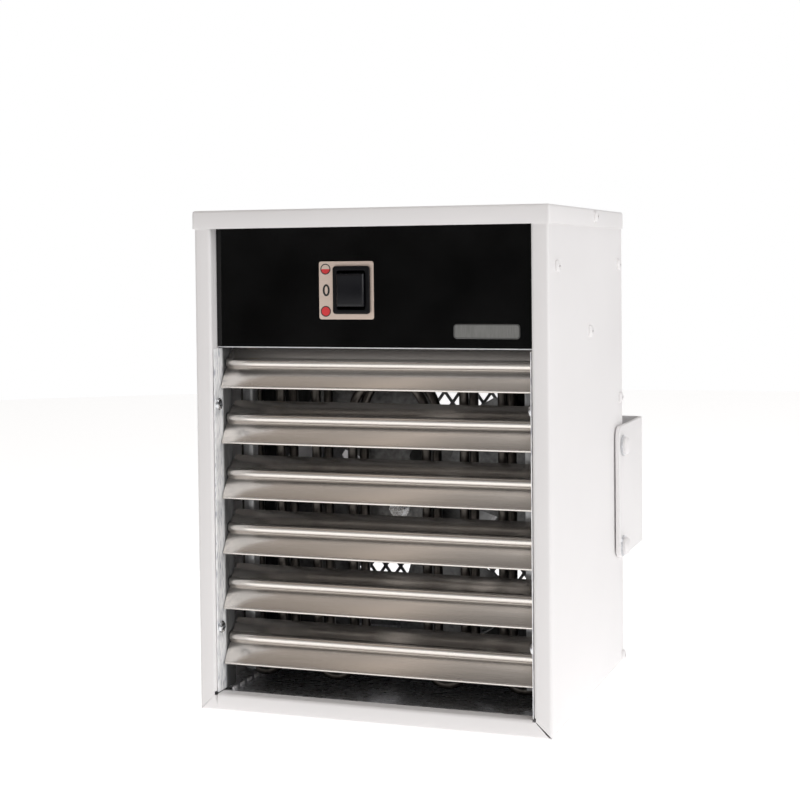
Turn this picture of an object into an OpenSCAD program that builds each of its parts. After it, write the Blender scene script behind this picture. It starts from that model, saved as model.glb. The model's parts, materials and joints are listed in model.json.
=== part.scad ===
// Wall mounted fan heater: a folded sheet casing with six turning louvre blades in front of
// two serpentine heating elements and an axial fan, a rocker switch on a black panel, and a
// U-shaped wall bracket that lets the casing tilt down. Millimetres, +Z up, outlet facing -Y.
// The origin lies on the floor plane under the middle of the whole footprint.

/* [Casing] */
// Width over the top cover
case_w = 242; // [236:1:260]
// Depth over the top cover
case_d = 218; // [214:1:240]
// Height from the base to the top
case_h = 330; // [324:1:350]
// Thickness of the folded steel sheet
sheet = 1; // [0.8:0.1:1.2]
// Height of the skirt round the top cover
lid_skirt = 12; // [10:0.5:14]
// Gap between the cover's skirt and the casing walls
lid_gap = 0.2; // [0.1:0.05:0.4]
// Rounding of the cover's upright corners
lid_corner_r = 2; // [1:0.5:4]
// Width of the upright front flanges
flange_w = 11.5; // [10.5:0.1:12.5]
// Height of the lower front flange
sill_h = 11.5; // [11.5:0.5:14]
// Depth of the returns folded back behind the flanges
return_d = 8.8; // [8:0.2:10]
// Width of the slit along the corner mitres
mitre_gap = 0.5; // [0.3:0.1:0.8]
// Side of the relief notch at each inner corner
notch = 2; // [1.5:0.5:3]

/* [Control panel] */
// Height of the panel above the air outlet
panel_h = 88.8; // [86:0.2:95]
// Thickness of the black fascia
fascia_t = 1; // [0.8:0.1:1.5]
// Bare strip of the panel left showing under the fascia
panel_edge = 1.3; // [0.8:0.1:2]
// Width of the plate behind the switch
switch_plate_w = 37.5; // [34:0.5:44]
// Height of the plate behind the switch
switch_plate_h = 37.3; // [34:0.5:44]
// Sideways place of that plate's middle
switch_plate_x = -16.1; // [-30:0.1:0]
// Height of the switch's middle above the panel's lower edge
switch_rise = 37.6; // [34:0.2:42]
// Width of the switch bezel
bezel_w = 25.2; // [24:0.2:28]
// Height of the switch bezel
bezel_h = 30.8; // [30:0.2:34]
// How far the bezel stands off its plate
bezel_t = 2; // [1.5:0.1:3]
// Width of the rocker
rocker_w = 18.6; // [17:0.1:19]
// Height of the rocker
rocker_h = 21.2; // [19:0.1:22]
// How far the rocker stands in front of the bezel
rocker_proud = 2.8; // [2:0.1:3.5]
// Width of the bare plate at the panel's right
name_plate_w = 43.3; // [38:0.5:50]
// Height of the bare plate
name_plate_h = 9.3; // [8:0.1:12]
// Gap between the bare plate and the fascia's right end
name_plate_gap = 9; // [6:0.5:20]
// Height of the bare plate's middle above the panel's lower edge
name_plate_rise = 11.4; // [9:0.2:13]

/* [Louvre] */
// Distance from a blade's bead to its front lip, level
lip_reach = 11.4; // [10:0.1:12]
// Distance from a blade's bead down to its front lip
lip_drop = 16; // [15:0.1:16.5]
// Distance from a blade's bead to its rear edge, level
wing_reach = 11.1; // [10:0.1:12]
// Distance from a blade's bead up to its rear edge
wing_rise = 11; // [10:0.1:11.5]
// Outer diameter of the bead along each blade
bead_d = 6.6; // [6:0.1:7.4]
// Diameter of the pins that the blades turn on
pin_d = 3; // [2.5:0.1:3.5]
// Radial running clearance of a pin in its blade
pin_clearance = 0.05; // [0.03:0.01:0.08]
// Thickness of the blade's wings
blade_t = 1.2; // [1:0.1:1.5]
// Distance of the blade pins behind the front of the cover
pin_y = 22.4; // [22:0.2:22.8]
// Lowest pin above the sill
first_pin_rise = 33.7; // [32:0.1:35]
// Highest pin below the panel
last_pin_drop = 10.8; // [10:0.2:13]
// Depth of the cheek plates that carry the blades
cheek_d = 27; // [25:0.5:28]
// Play between a blade's end and its bush
blade_play = 0.2; // [0.1:0.05:0.4]

/* [Floor slots] */
// Distance of the slots from the casing wall
slot_inset = 14.6; // [12:0.2:17]
// Distance of the first slot behind the returns
slot_start = 6; // [4:0.5:10]
// Distance from one slot to the next
slot_pitch = 11.7; // [10:0.1:14]
// Length of a slot
slot_l = 6.5; // [5:0.5:9]
// Width of a slot
slot_w = 1.2; // [1:0.1:3]

/* [Heating] */
// Diameter of the element tube
tube_d = 6.4; // [6:0.1:7]
// Distance of the outer tubes from the casing wall
tube_side_gap = 15.2; // [14.6:0.2:17]
// Distance of the front element behind the front of the cover
element_y = 43.5; // [43.5:0.1:45]
// Distance between the two elements
element_spacing = 21.9; // [20:0.1:22.4]
// Space under the lower bends
bend_floor_gap = 4.7; // [3:0.1:6]
// Space between the upper bends and the partition
bend_top_gap = 17.8; // [14:0.2:20]
// How much lower the middle arch starts than the other upper bends
arch_drop = 24.8; // [20:0.2:28]
// Height of the fan's axis
fan_z = 130.2; // [129:0.2:132]
// Width of the front flange on each element support
support_flange = 6.5; // [5:0.5:7]

/* [Wiring space] */
// Width of the terminal block
block_w = 52; // [48:1:60]
// Depth of the terminal block
block_d = 22; // [20:0.5:26]
// Height of the terminal block
block_h = 17; // [16:0.5:20]
// Spacing of its four clamps
block_pitch = 12.6; // [11:0.1:13.6]
// Space between the terminal block and the right wall
block_wall_gap = 26.6; // [20:0.2:40]
// Distance of the terminal block behind the front of the cover
block_y = 110; // [100:1:130]
// Diameter of the thermal cutout
cutout_d = 16; // [14:0.5:20]
// Distance of the cutout to the left of the middle
cutout_x = 60; // [30:1:80]
// Distance of the cutout behind the front of the cover
cutout_y = 120; // [100:1:140]

/* [Fan] */
// Diameter over the fan blades
fan_d = 196; // [180:1:198]
// Number of fan blades
fan_blades = 4; // [3:1:4]
// Slope of the fan blades
fan_pitch = 14; // [10:1:16]
// Chord of a fan blade at its tip
fan_chord = 96; // [60:1:100]
// Width of the stem between a fan blade and the hub
fan_stem_w = 20; // [16:1:30]
// Distance from the fan's axis at which a blade starts to widen
fan_stem_r = 30; // [24:1:40]
// Distance from the fan's axis at which a blade is nearly full width
fan_full_r = 66; // [56:1:80]
// How far the fan has been turned from upright, in degrees
fan_rest = -22; // [-45:1:45]
// Clearance round the blade tips
tip_clearance = 3; // [2:0.5:4]
// Distance from the rear element to the fan shroud
fan_space = 34.5; // [33:0.5:40]
// Distance from the fan shroud to the motor
motor_space = 10; // [8:0.5:14]
// Length of the shaft inside the motor
shaft_in_motor = 30; // [20:1:36]
// Thickness of a fan blade
fan_blade_t = 1.5; // [1:0.1:2]
// Diameter of the motor's case
motor_d = 83; // [70:1:90]
// Length of the motor's case
motor_l = 50; // [40:1:56]
// Diameter of the fan shaft
shaft_d = 6; // [5:0.5:8]
// Diameter of the fan hub
hub_d = 32; // [28:1:36]

/* [Rear guard] */
// Width of a mesh opening between strand centres
mesh_w = 12.3; // [11:0.1:16]
// Height of a mesh opening between strand centres
mesh_h = 17; // [15:0.5:22]
// Width of a mesh strand
strand = 2.3; // [1.4:0.1:2.6]
// Width of the guard's frame
guard_border = 9; // [7:0.5:12]

/* [Wall bracket] */
// Distance from the casing to the wall
wall_gap = 60; // [56:1:70]
// Height of the bracket
bracket_h = 95; // [92:1:104]
// Lower edge of the bracket above the base
bracket_z = 80; // [76:1:84]
// Thickness of the bracket strip
bracket_t = 3; // [2:0.1:4]
// Space between the casing wall and a bracket arm
arm_gap = 1; // [0.9:0.1:2]
// Rounding of the bracket's front corners
bracket_corner_r = 8; // [5:0.5:10]
// Outer radius of the bends beside the wall
bracket_bend_r = 8; // [5:0.5:12]
// Distance of the bracket's front edge ahead of its bolts
arm_lead = 11; // [10.5:0.5:14]
// Distance of the bolts ahead of the casing's rear edge
bolt_back = 20; // [19.5:0.5:22]
// Distance between the pivot bolt and the locking bolt
bolt_spacing = 73; // [71:0.5:74]
// Diameter of the bracket bolts
bolt_d = 6; // [5:0.5:7]
// How far the casing can tilt down, in degrees
tilt_range = 6; // [3:0.5:7]
// Width between the wall screw holes
wall_hole_dx = 160; // [120:5:190]
// Height between the wall screw holes
wall_hole_dz = 50; // [40:2:60]
// Diameter of the wall screw holes
wall_hole_d = 7; // [5:0.5:8]

/* [Cable gland] */
// Diameter of the cable hole through the gland
cable_d = 10; // [8:0.5:12]
// Diameter of the gland's barrel
gland_d = 20; // [18:0.5:22]
// Sideways place of the gland
gland_x = 70; // [50:1:85]

/* [Hidden] */

$fn = 48;
louvre_count = 6;
fit_gap = 0.2;      // play between flat pieces of one assembly
hole_gap = 0.1;     // radial play of a screw in its hole
face_gap = 0.3;     // play between faces that slide past each other
eps = 0.01;

overall_d = case_d + wall_gap;
lid_inset = sheet + lid_gap;
body_w = case_w - 2 * lid_inset;
body_d = case_d - 2 * lid_inset;
body_y = lid_inset;
body_back = body_y + body_d;
body_h = case_h - sheet - lid_gap;
half_w = body_w / 2;
inner_half = half_w - sheet;
inset_half = inner_half - fit_gap;      // half width of what slides in between the walls
return_x = half_w - flange_w;           // inner face of the upright returns
return_y = body_y + sheet;
return_back = return_y + return_d;

panel_z = body_h - panel_h;
panel_y = return_back;
fascia_y = panel_y - fascia_t;
fascia_half = return_x - fit_gap;
plate_t = 0.6;
name_plate_x = fascia_half - name_plate_gap - name_plate_w / 2;
switch_x = switch_plate_x + 3.9;
switch_z = panel_z + switch_rise;
bezel_back = fascia_y - plate_t;
bezel_front = bezel_back - bezel_t;
rocker_axis_y = bezel_back + 4;
rocker_bevel = 1.3;
trunnion_r = 1.2;
housing_d = 20;
panel_flange_d = 16;

pin_first = sill_h + first_pin_rise;
pin_last = panel_z - last_pin_drop;
louvre_pitch = (pin_last - pin_first) / (louvre_count - 1);
cheek_x = return_x - fit_gap;           // outer face of the cheek plates
cheek_in = cheek_x - sheet;
cheek_y = return_y + 0.6;
cheek_z = sill_h + 0.5;
cheek_top = panel_z - 0.6;
cheek_fold = 8;
bush_flange_t = 0.5;
blade_half = cheek_in - bush_flange_t - blade_play;
bush_d = pin_d + 2;
bush_flange_d = bead_d + 0.6;
pin_in_blade = 14;
pin_head_t = 1.4;
cheek_screw_y = return_y + 5.4;

floor_z = sill_h - sheet - fit_gap;     // top of the floor plate
floor_back = body_back;
partition_z = panel_z + 12;
partition_flange = 10;
wire_hole = [0, 150];
wire_hole_d = 12;

tube_r = tube_d / 2;
tube_pitch = (inner_half - tube_side_gap) / 4;
bend_r = tube_pitch / 2;
bend_low = floor_z + bend_floor_gap + tube_r + bend_r;
bend_high = partition_z - bend_top_gap - tube_r - bend_r;
arch_z = bend_high - arch_drop;
tube_top = partition_z + 15;
tube_outer_x = 4 * tube_pitch;
element_ys = [element_y, element_y + element_spacing];
ferrule_d = 10;
ferrule_l = 11;
ferrule_below = 4;                      // under the partition
insulator_h = 6;
support_x = tube_outer_x - 8;           // plane of the support legs
support_shift = -1.5;
support_y = element_y - tube_r - sheet - 0.3;
support_flange_top = partition_z - 6;
support_flange_foot = floor_z + 9.2;

shroud_hole_r = fan_d / 2 + tip_clearance;
shroud_half = inset_half - sheet - fit_gap;
shroud_y = element_y + element_spacing + fan_space;
shroud_collar = 15;
blade_span = fan_chord * sin(fan_pitch);
blade_mid_y = shroud_y - blade_span / 2 - 1;
hub_front = element_y + element_spacing;
hub_back = shroud_y - 2;
nut_l = 9;
motor_y = shroud_y + motor_space;
motor_back = motor_y + motor_l;
mount_t = 2;
mount_half_h = 12;
mount_foot = 7;
mount_x = shroud_half - sheet - fit_gap - mount_foot;
mount_screw_x = mount_x + mount_foot / 2;
motor_screw_x = 28;
motor_screw_l = 9;
mount_screw_l = 6;
mount_head_d = 4.6;

guard_z = floor_z + fit_gap;
guard_top = partition_z - fit_gap;
guard_y = body_back - sheet;
guard_fold = 11;
mesh_lap = 5;
mesh_shift = [1.9, -2.6];

arm_x = half_w + arm_gap;               // inner face of the bracket arms
arm_out = arm_x + bracket_t;
bolt_y = body_back - bolt_back + lid_inset;
pivot_z = bracket_z + bracket_h - 14;
lock_z = pivot_z - bolt_spacing;
bolt_r = bolt_d / 2;
bolt_head_d = 12.7;
bolt_head_h = 3.8;
washer_d = 15;
washer_t = 1.2;
spacer_d = 14;
nut_t = 5;

clamp_d = 5;
clamp_z = 6.5;
clamp_screw_r = 2;

block_x = inner_half - block_wall_gap - block_w;
gland_z = (panel_z + body_h) / 2;
gland_flange_t = 4;
gland_nut_l = 15;
screw_d = 3.9;
screw_head_d = 8;
screw_head_h = 2.3;
upper_screw_drop = 37;
rear_screw_inset = 13.2;
rear_cover_flange = 16;
low_cheek_screw_rise = 9.5;             // above the lowest blade's pin
high_cheek_screw_drop = 26.6;           // below the highest blade's pin
// Places of the side screws as [distance from the front, height]
panel_screw = [20, body_h - upper_screw_drop];
rear_cover_screw = [body_back - rear_screw_inset, body_h - upper_screw_drop];
partition_screw = [111, partition_z - 4.5];
guard_screw = [body_back - 8.3, bracket_z + bracket_h + 20];
floor_screw = [floor_back - 3.2, 4.4];
side_screw_places = [panel_screw, rear_cover_screw, partition_screw, guard_screw, floor_screw];
cover_screw = [125, case_h - 5];
cheek_screw_zs = [pin_first + low_cheek_screw_rise, pin_last - high_cheek_screw_drop];

function pin_z(k) = pin_last - k * louvre_pitch;

module from_front() translate([0, -overall_d / 2, 0]) children();

module both_sides() {
    children();
    mirror([1, 0, 0]) children();
}

// A rod along X, Y or Z from one end to the other
module rod_x(x0, x1, r) translate([x0, 0, 0]) rotate([0, 90, 0]) cylinder(h = x1 - x0, r = r);
module rod_y(y0, y1, r) translate([0, y0, 0]) rotate([-90, 0, 0]) cylinder(h = y1 - y0, r = r);

// A flat plate across the heater from a drawing in X and Z
module upright_plate(y0, t) translate([0, y0 + t, 0]) rotate([90, 0, 0]) linear_extrude(t) children();

// A profile drawn in Y and Z, drawn out sideways
module along_x(x0, x1)
    translate([x0, 0, 0]) rotate([90, 0, 90]) linear_extrude(x1 - x0) children();

module rounded_rect(w, h, r) {
    square([w - 2 * r, h], center = true);
    square([w, h - 2 * r], center = true);
    for (sx = [-1, 1], sy = [-1, 1])
        translate([sx * (w / 2 - r), sy * (h / 2 - r)]) circle(r);
}

// A pan head screw whose head sits on the plane z = 0 and points up
module pan_screw(head_d, head_h, shank_d, shank_l, recess = true) {
    difference() {
        union() {
            rotate_extrude() polygon([[0, 0], [head_d / 2, 0], [head_d / 2, head_h * 0.45],
                [head_d * 0.42, head_h * 0.8], [head_d * 0.28, head_h], [0, head_h]]);
            translate([0, 0, -shank_l]) cylinder(h = shank_l + eps, d = shank_d);
        }
        if (recess) for (a = [0, 90])
            rotate([0, 0, a]) translate([-head_d * 0.27, -head_d * 0.06, head_h * 0.45])
                cube([head_d * 0.54, head_d * 0.12, head_h]);
    }
}

// A hole through the side walls at [distance from the front, height]
module side_hole(place, d) translate([0, place[0], place[1]]) rod_x(-case_w, case_w, d / 2);

// The mitred front flange on the left of the casing, in X and Z
module side_flange_shape() polygon([[-half_w, 0], [-half_w, body_h], [-return_x, body_h],
    [-return_x, sill_h]]);

module sill_shape() polygon([[-half_w, 0], [-return_x, sill_h], [return_x, sill_h], [half_w, 0]]);

// The slit and the relief notch of a lower front corner, in X and Z
module mitre_cut() {
    slope = atan2(sill_h, flange_w);
    translate([-half_w, 0]) rotate(slope)
        translate([sheet * 1.6, -mitre_gap / 2]) square([norm([flange_w, sill_h]), mitre_gap]);
    translate([-return_x - notch / 2, sill_h - notch / 2]) square(notch);
}

// Curved slots that the locking bolts slide along, centred on the pivot
module lock_slot() translate([0, bolt_y, pivot_z]) {
    slot_half = bolt_r + 0.3;
    for (tilt = [0, tilt_range])
        rotate([-tilt, 0, 0]) translate([0, 0, -bolt_spacing])
            rod_x(-case_w, case_w, slot_half + 0.1);
    intersection() {
        difference() {
            rod_x(-case_w, case_w, bolt_spacing + slot_half);
            rod_x(-case_w - 1, case_w + 1, bolt_spacing - slot_half);
        }
        along_x(-case_w, case_w) polygon([[0, 0], [0, -2 * bolt_spacing],
            [-2 * bolt_spacing * tan(tilt_range), -2 * bolt_spacing]]);
    }
}

module casing_wrap() color("white") from_front() difference() {
    union() {
        both_sides() {
            translate([-half_w, body_y, 0]) cube([sheet, body_d, body_h]);
            upright_plate(body_y, sheet) difference() {
                side_flange_shape();
                mitre_cut();
            }
            translate([-return_x - sheet, body_y, sill_h + notch / 2])
                cube([sheet, sheet + return_d, body_h - sill_h - notch / 2]);
        }
        translate([-half_w, body_y, 0]) cube([body_w, body_d, sheet]);
        upright_plate(body_y, sheet) difference() {
            sill_shape();
            mitre_cut();
            mirror([1, 0]) mitre_cut();
        }
        translate([-return_x + notch / 2, body_y, sill_h - sheet])
            cube([2 * return_x - notch, sheet + return_d, sheet]);
    }
    for (place = side_screw_places) side_hole(place, screw_d + 2 * hole_gap);
    side_hole(cover_screw, screw_d + 2 * hole_gap);
    side_hole([bolt_y, pivot_z], bolt_d + 5);
    for (z = cheek_screw_zs) side_return_hole([cheek_screw_y, z]);
    lock_slot();
}

// A hole through the two returns only
module side_return_hole(place) both_sides()
    translate([0, place[0], place[1]])
        rod_x(-return_x - sheet - 0.5, -return_x + 0.5, screw_d / 2 + hole_gap);

module top_cover() color("white") from_front() difference() {
    translate([0, case_d / 2, case_h - lid_skirt])
        linear_extrude(lid_skirt) rounded_rect(case_w, case_d, lid_corner_r);
    translate([0, case_d / 2, case_h - lid_skirt - eps])
        linear_extrude(lid_skirt - sheet + eps)
            square([case_w - 2 * sheet, case_d - 2 * sheet], center = true);
    side_hole(cover_screw, screw_d + 2 * hole_gap);
    // Open folds where the skirt meets at the rear corners
    both_sides() translate([-case_w / 2 - 1, case_d - sheet - 1.2, case_h - lid_skirt - 1])
        cube([2.2 + eps, 0.6, lid_skirt - 1.5]);
}

module rear_cover() color("white") from_front() difference() {
    union() {
        translate([-inset_half, body_back - sheet, partition_z + fit_gap])
            cube([2 * inset_half, sheet, body_h - partition_z - 2 * fit_gap]);
        both_sides() translate([-inset_half, body_back - sheet - rear_cover_flange, partition_z + 2])
            cube([sheet, rear_cover_flange + eps, body_h - partition_z - 2 - fit_gap]);
    }
    side_hole(rear_cover_screw, screw_d + 2 * hole_gap);
    translate([gland_x, 0, gland_z]) rod_y(body_back - 5, body_back + 5, gland_d / 2 + hole_gap);
}

// The expanded mesh, drawn in X and Z as staggered diamonds
module mesh_openings(w, h) {
    columns = floor(w / mesh_w);
    rows = floor(h / mesh_h);
    diamond = [[-mesh_w / 2, 0], [0, -mesh_h / 2], [mesh_w / 2, 0], [0, mesh_h / 2]];
    keep = 1 - strand * norm([1 / mesh_w, 1 / mesh_h]);
    for (i = [0 : 2 * columns - 2], j = [0 : 2 * rows - 2])
        if ((i + j) % 2 == 0)
            translate([(i + 1 - columns) * mesh_w / 2, (j + 1 - rows) * mesh_h / 2])
                polygon(keep * diamond);
}

// The window of the guard's frame, in X and Z
module guard_window(grow) translate([0, (guard_z + guard_top) / 2])
    square([2 * (inset_half - guard_border + grow), guard_top - guard_z - 2 * (guard_border - grow)],
        center = true);

module rear_guard() color("gainsboro") from_front() difference() {
    union() {
        upright_plate(guard_y, sheet) difference() {
            translate([-inset_half, guard_z]) square([2 * inset_half, guard_top - guard_z]);
            guard_window(0);
        }
        both_sides() translate([-inset_half, guard_y - guard_fold, guard_z])
            cube([sheet, guard_fold + eps, guard_top - guard_z]);
    }
    side_hole(guard_screw, screw_d + 2 * hole_gap);
}

// The mesh sheet lies on the inside of the guard's frame, to which it is spot welded
module rear_mesh() color("gray") from_front() upright_plate(guard_y - sheet, sheet) difference() {
    guard_window(mesh_lap);
    translate([mesh_shift[0], (guard_z + guard_top) / 2 + mesh_shift[1]])
        mesh_openings(2 * (inset_half - guard_border), guard_top - guard_z - 2 * guard_border);
}

module control_panel() color("white") from_front() difference() {
    union() {
        translate([-inset_half, panel_y, panel_z]) cube([2 * inset_half, sheet, panel_h - fit_gap]);
        both_sides() translate([-inset_half, panel_y, panel_z])
            cube([sheet, panel_flange_d, panel_h - fit_gap]);
    }
    side_hole(panel_screw, screw_d + 2 * hole_gap);
    switch_cutout();
}

// The opening that the switch passes through
module switch_cutout() translate([switch_x, panel_y, switch_z])
    cube([bezel_w - 2.4, 40, bezel_h - 2.4], center = true);

module fascia() color("black") from_front() difference() {
    translate([-fascia_half, fascia_y, panel_z + panel_edge])
        cube([2 * fascia_half, fascia_t, panel_h - panel_edge - fit_gap]);
    switch_cutout();
}

module switch_plate() color("wheat") from_front() difference() {
    translate([switch_plate_x, 0, switch_z - 0.2]) upright_plate(bezel_back, plate_t)
        rounded_rect(switch_plate_w, switch_plate_h, 1.5);
    switch_cutout();
}

module name_plate() color("silver") from_front()
    translate([name_plate_x, 0, panel_z + name_plate_rise]) upright_plate(fascia_y - plate_t, plate_t)
        rounded_rect(name_plate_w, name_plate_h, 2.2);

module switch_housing() color("black") from_front() translate([switch_x, 0, switch_z])
    difference() {
        union() {
            upright_plate(bezel_front, bezel_t) rounded_rect(bezel_w, bezel_h, 2);
            translate([-bezel_w / 2 + 1.5, bezel_back - eps, -bezel_h / 2 + 1.5])
                cube([bezel_w - 3, housing_d, bezel_h - 3]);
        }
        // The well that the rocker moves in
        translate([-rocker_w / 2 - 0.4, bezel_front - 1, -rocker_h / 2 - 1.9])
            cube([rocker_w + 0.8, 17, rocker_h + 3.8]);
        translate([0, rocker_axis_y, 0])
            rod_x(-rocker_w / 2 - 1.4, rocker_w / 2 + 1.4, trunnion_r + pin_clearance);
    }

module switch_tabs() color("silver") from_front() translate([switch_x, bezel_back + housing_d, switch_z])
    for (ix = [-1, 1], iz = [-1, 0, 1])
        translate([ix * 5 - 0.4, 0, iz * 8.5 - 2.4]) cube([0.8, 8, 4.8]);

// The rocker turns about a line across the switch, behind its face
module rocker() color("black") from_front() translate([switch_x, rocker_axis_y, switch_z]) {
    rod_x(-rocker_w / 2 - 1.2, rocker_w / 2 + 1.2, trunnion_r);
    intersection() {
        along_x(-rocker_w / 2, rocker_w / 2) {
            front = bezel_front - rocker_proud - rocker_axis_y;
            polygon([[front + rocker_bevel, -rocker_h / 2], [front, -rocker_h / 2 + rocker_bevel],
                [front, rocker_h / 2 - rocker_bevel], [front + rocker_bevel, rocker_h / 2],
                [1, rocker_h / 2],
                [4, 4], [4, -4], [1, -rocker_h / 2]]);
        }
        translate([0, 0, -rocker_h]) linear_extrude(2 * rocker_h) {
            front = bezel_front - rocker_proud - rocker_axis_y;
            polygon([[-rocker_w / 2, front + 1], [-rocker_w / 2 + 1, front],
                [rocker_w / 2 - 1, front], [rocker_w / 2, front + 1], [rocker_w / 2, 6],
                [-rocker_w / 2, 6]]);
        }
    }
}

module cheek() difference() {
    union() {
        translate([-cheek_x, cheek_y, cheek_z]) cube([sheet, cheek_d, cheek_top - cheek_z]);
        translate([-cheek_x - cheek_fold, cheek_y + cheek_d - sheet, cheek_z])
            cube([cheek_fold + eps, sheet, cheek_top - cheek_z]);
    }
    for (k = [0 : louvre_count - 1]) translate([0, pin_y, pin_z(k)])
        rod_x(-cheek_x - 1, -cheek_in + 1, bush_d / 2 + hole_gap / 2);
    for (z = cheek_screw_zs) translate([0, cheek_screw_y, z])
        rod_x(-cheek_x - 1, -cheek_in + 1, screw_d / 2 + hole_gap);
}

module cheek_left() color("lightgray") from_front() cheek();
module cheek_right() color("lightgray") from_front() mirror([1, 0, 0]) cheek();

// The cross section of a louvre blade in Y and Z about its bead
module blade_shape() {
    wing_strip([-lip_reach, -lip_drop], [0, -1], blade_t + 0.2, 0.9);
    wing_strip([0, 1], [wing_reach, wing_rise], blade_t, 0.7);
    circle(bead_d / 2);
}

// A bowed strip from a to b whose front bulges to the left of the way from a to b
module wing_strip(a, b, t, bulge) {
    side = [-(b - a)[1], (b - a)[0]] / norm(b - a);
    polygon(concat([for (u = [0 : 0.1 : 1]) a + (b - a) * u + side * 4 * bulge * u * (1 - u)],
        [for (u = [1 : -0.1 : 0]) a + (b - a) * u + side * (4 * bulge * u * (1 - u) - t)]));
}

module louvre(k) color("tan") from_front() translate([0, pin_y, pin_z(k)]) difference() {
    along_x(-blade_half, blade_half) blade_shape();
    rod_x(-case_w, case_w, pin_d / 2 + pin_clearance);
}

module louvre_1() louvre(0);
module louvre_2() louvre(1);
module louvre_3() louvre(2);
module louvre_4() louvre(3);
module louvre_5() louvre(4);
module louvre_6() louvre(5);

// Repeats its children at each blade end, with the left end's outward direction along -X
module at_blade_ends() for (k = [0 : louvre_count - 1])
    both_sides() translate([0, pin_y, pin_z(k)]) children();

module louvre_bushes() color("dimgray") from_front() at_blade_ends() difference() {
    union() {
        rod_x(-cheek_x - 1, -cheek_in + eps, bush_d / 2);
        rod_x(-cheek_in, -cheek_in + bush_flange_t, bush_flange_d / 2);
    }
    rod_x(-cheek_x - 2, -cheek_in + 2, pin_d / 2 + pin_clearance);
}

module louvre_pins() color("silver") from_front() at_blade_ends() {
    rod_x(-cheek_x - 1, -blade_half + pin_in_blade, pin_d / 2);
    rod_x(-cheek_x - 1 - pin_head_t, -cheek_x - 1, pin_d);
}

module cheek_screws() color("silver") from_front() both_sides()
    for (z = cheek_screw_zs) translate([-cheek_in, cheek_screw_y, z])
        rotate([0, 90, 0]) pan_screw(screw_head_d, screw_head_h, screw_d, 5);

module side_screws() color("white") from_front() both_sides()
    for (place = side_screw_places) translate([half_w, place[0], place[1]])
        rotate([0, 90, 0]) pan_screw(screw_head_d, screw_head_h, screw_d, 5);

module cover_screws() color("white") from_front() both_sides()
    translate([case_w / 2, cover_screw[0], cover_screw[1]])
        rotate([0, 90, 0]) pan_screw(screw_head_d, screw_head_h, screw_d, 6);

module partition_plate() color("lightgray") from_front() difference() {
    front = panel_y + sheet + fit_gap;
    fold_y = panel_y + panel_flange_d + 1;
    union() {
        translate([-inset_half, front, partition_z])
            cube([2 * inset_half, body_back - sheet - fit_gap - front, sheet]);
        both_sides() translate([-inset_half, fold_y, partition_z - partition_flange])
            cube([sheet, 200 - fold_y, partition_flange + eps]);
    }
    // Room for the side flanges of the control panel
    both_sides() translate([-case_w, 0, partition_z - 1])
        cube([case_w - inset_half + sheet + fit_gap, panel_y + panel_flange_d + fit_gap, 3]);
    at_element_ends() translate([0, 0, partition_z - 1])
        cylinder(h = 4, r = ferrule_d / 2 + hole_gap);
    side_hole(partition_screw, screw_d + 2 * hole_gap);
    translate([wire_hole[0], wire_hole[1], partition_z - 1])
        cylinder(h = 3, d = wire_hole_d);
}

// The grooved bush that lines the wire hole in the partition
module wire_bush() color("black") from_front()
    translate([wire_hole[0], wire_hole[1], partition_z + sheet / 2]) rotate_extrude()
        polygon([[4, -3], [8, -3], [8, -0.6], [wire_hole_d / 2 - 0.1, -0.6],
            [wire_hole_d / 2 - 0.1, 0.6], [8, 0.6], [8, 3], [4, 3]]);

module floor_plate() color("lightgray") from_front() difference() {
    union() {
        translate([-inset_half, return_y + fit_gap, floor_z - sheet])
            cube([2 * inset_half, floor_back - return_y - fit_gap, sheet]);
        both_sides() translate([-inset_half, return_back, sheet + fit_gap])
            cube([sheet, floor_back - return_back, floor_z - sheet - fit_gap]);
        translate([-inset_half, floor_back - sheet, sheet + fit_gap])
            cube([2 * inset_half, sheet, floor_z - sheet - fit_gap]);
    }
    side_hole(floor_screw, screw_d + 2 * hole_gap);
    // A row of slots along the left side
    for (i = [0 : 4])
        translate([-inner_half + slot_inset, return_back + slot_start + slot_pitch * i,
            floor_z - 2 * sheet]) cube([slot_w, slot_l, 3 * sheet]);
}

// An angle strip beside the outer tubes; its leg starts above the lower bends
module support(side) translate([support_shift, 0, 0]) mirror([side > 0 ? 1 : 0, 0, 0]) {
    translate([-support_x - sheet / 2, support_y, bend_low])
        cube([sheet, 9, partition_z - bend_low - fit_gap]);
    translate([-support_x - support_flange, support_y, support_flange_foot])
        cube([support_flange + sheet / 2, sheet, support_flange_top - support_flange_foot]);
}

module support_left() color("silver") from_front() support(-1);
module support_right() color("silver") from_front() support(1);

// Half a ring of tube in the X-Z plane, arching up or down
module half_bend(x, z, r, up) translate([x, 0, z]) rotate([90, 0, 0])
    rotate([0, 0, up ? 0 : 180]) rotate_extrude(angle = 180) translate([r, 0]) circle(tube_r);

module tube_leg(x, z0, z1) translate([x, 0, z0]) cylinder(h = z1 - z0, r = tube_r);

// One serpentine: four upright legs a side, joined by bends, and a wide arch in the middle
module element(y) from_front() translate([0, y, 0]) {
    half_bend(0, arch_z, tube_pitch, true);
    both_sides() {
        tube_leg(tube_pitch, bend_low, arch_z);
        half_bend(1.5 * tube_pitch, bend_low, bend_r, false);
        tube_leg(2 * tube_pitch, bend_low, bend_high);
        half_bend(2.5 * tube_pitch, bend_high, bend_r, true);
        tube_leg(3 * tube_pitch, bend_low, bend_high);
        half_bend(3.5 * tube_pitch, bend_low, bend_r, false);
        tube_leg(4 * tube_pitch, bend_low, tube_top);
    }
}

module element_front() color("saddlebrown") element(element_ys[0]);
module element_rear() color("saddlebrown") element(element_ys[1]);

module at_element_ends() for (y = element_ys)
    both_sides() translate([tube_outer_x, y, 0]) children();

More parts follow.
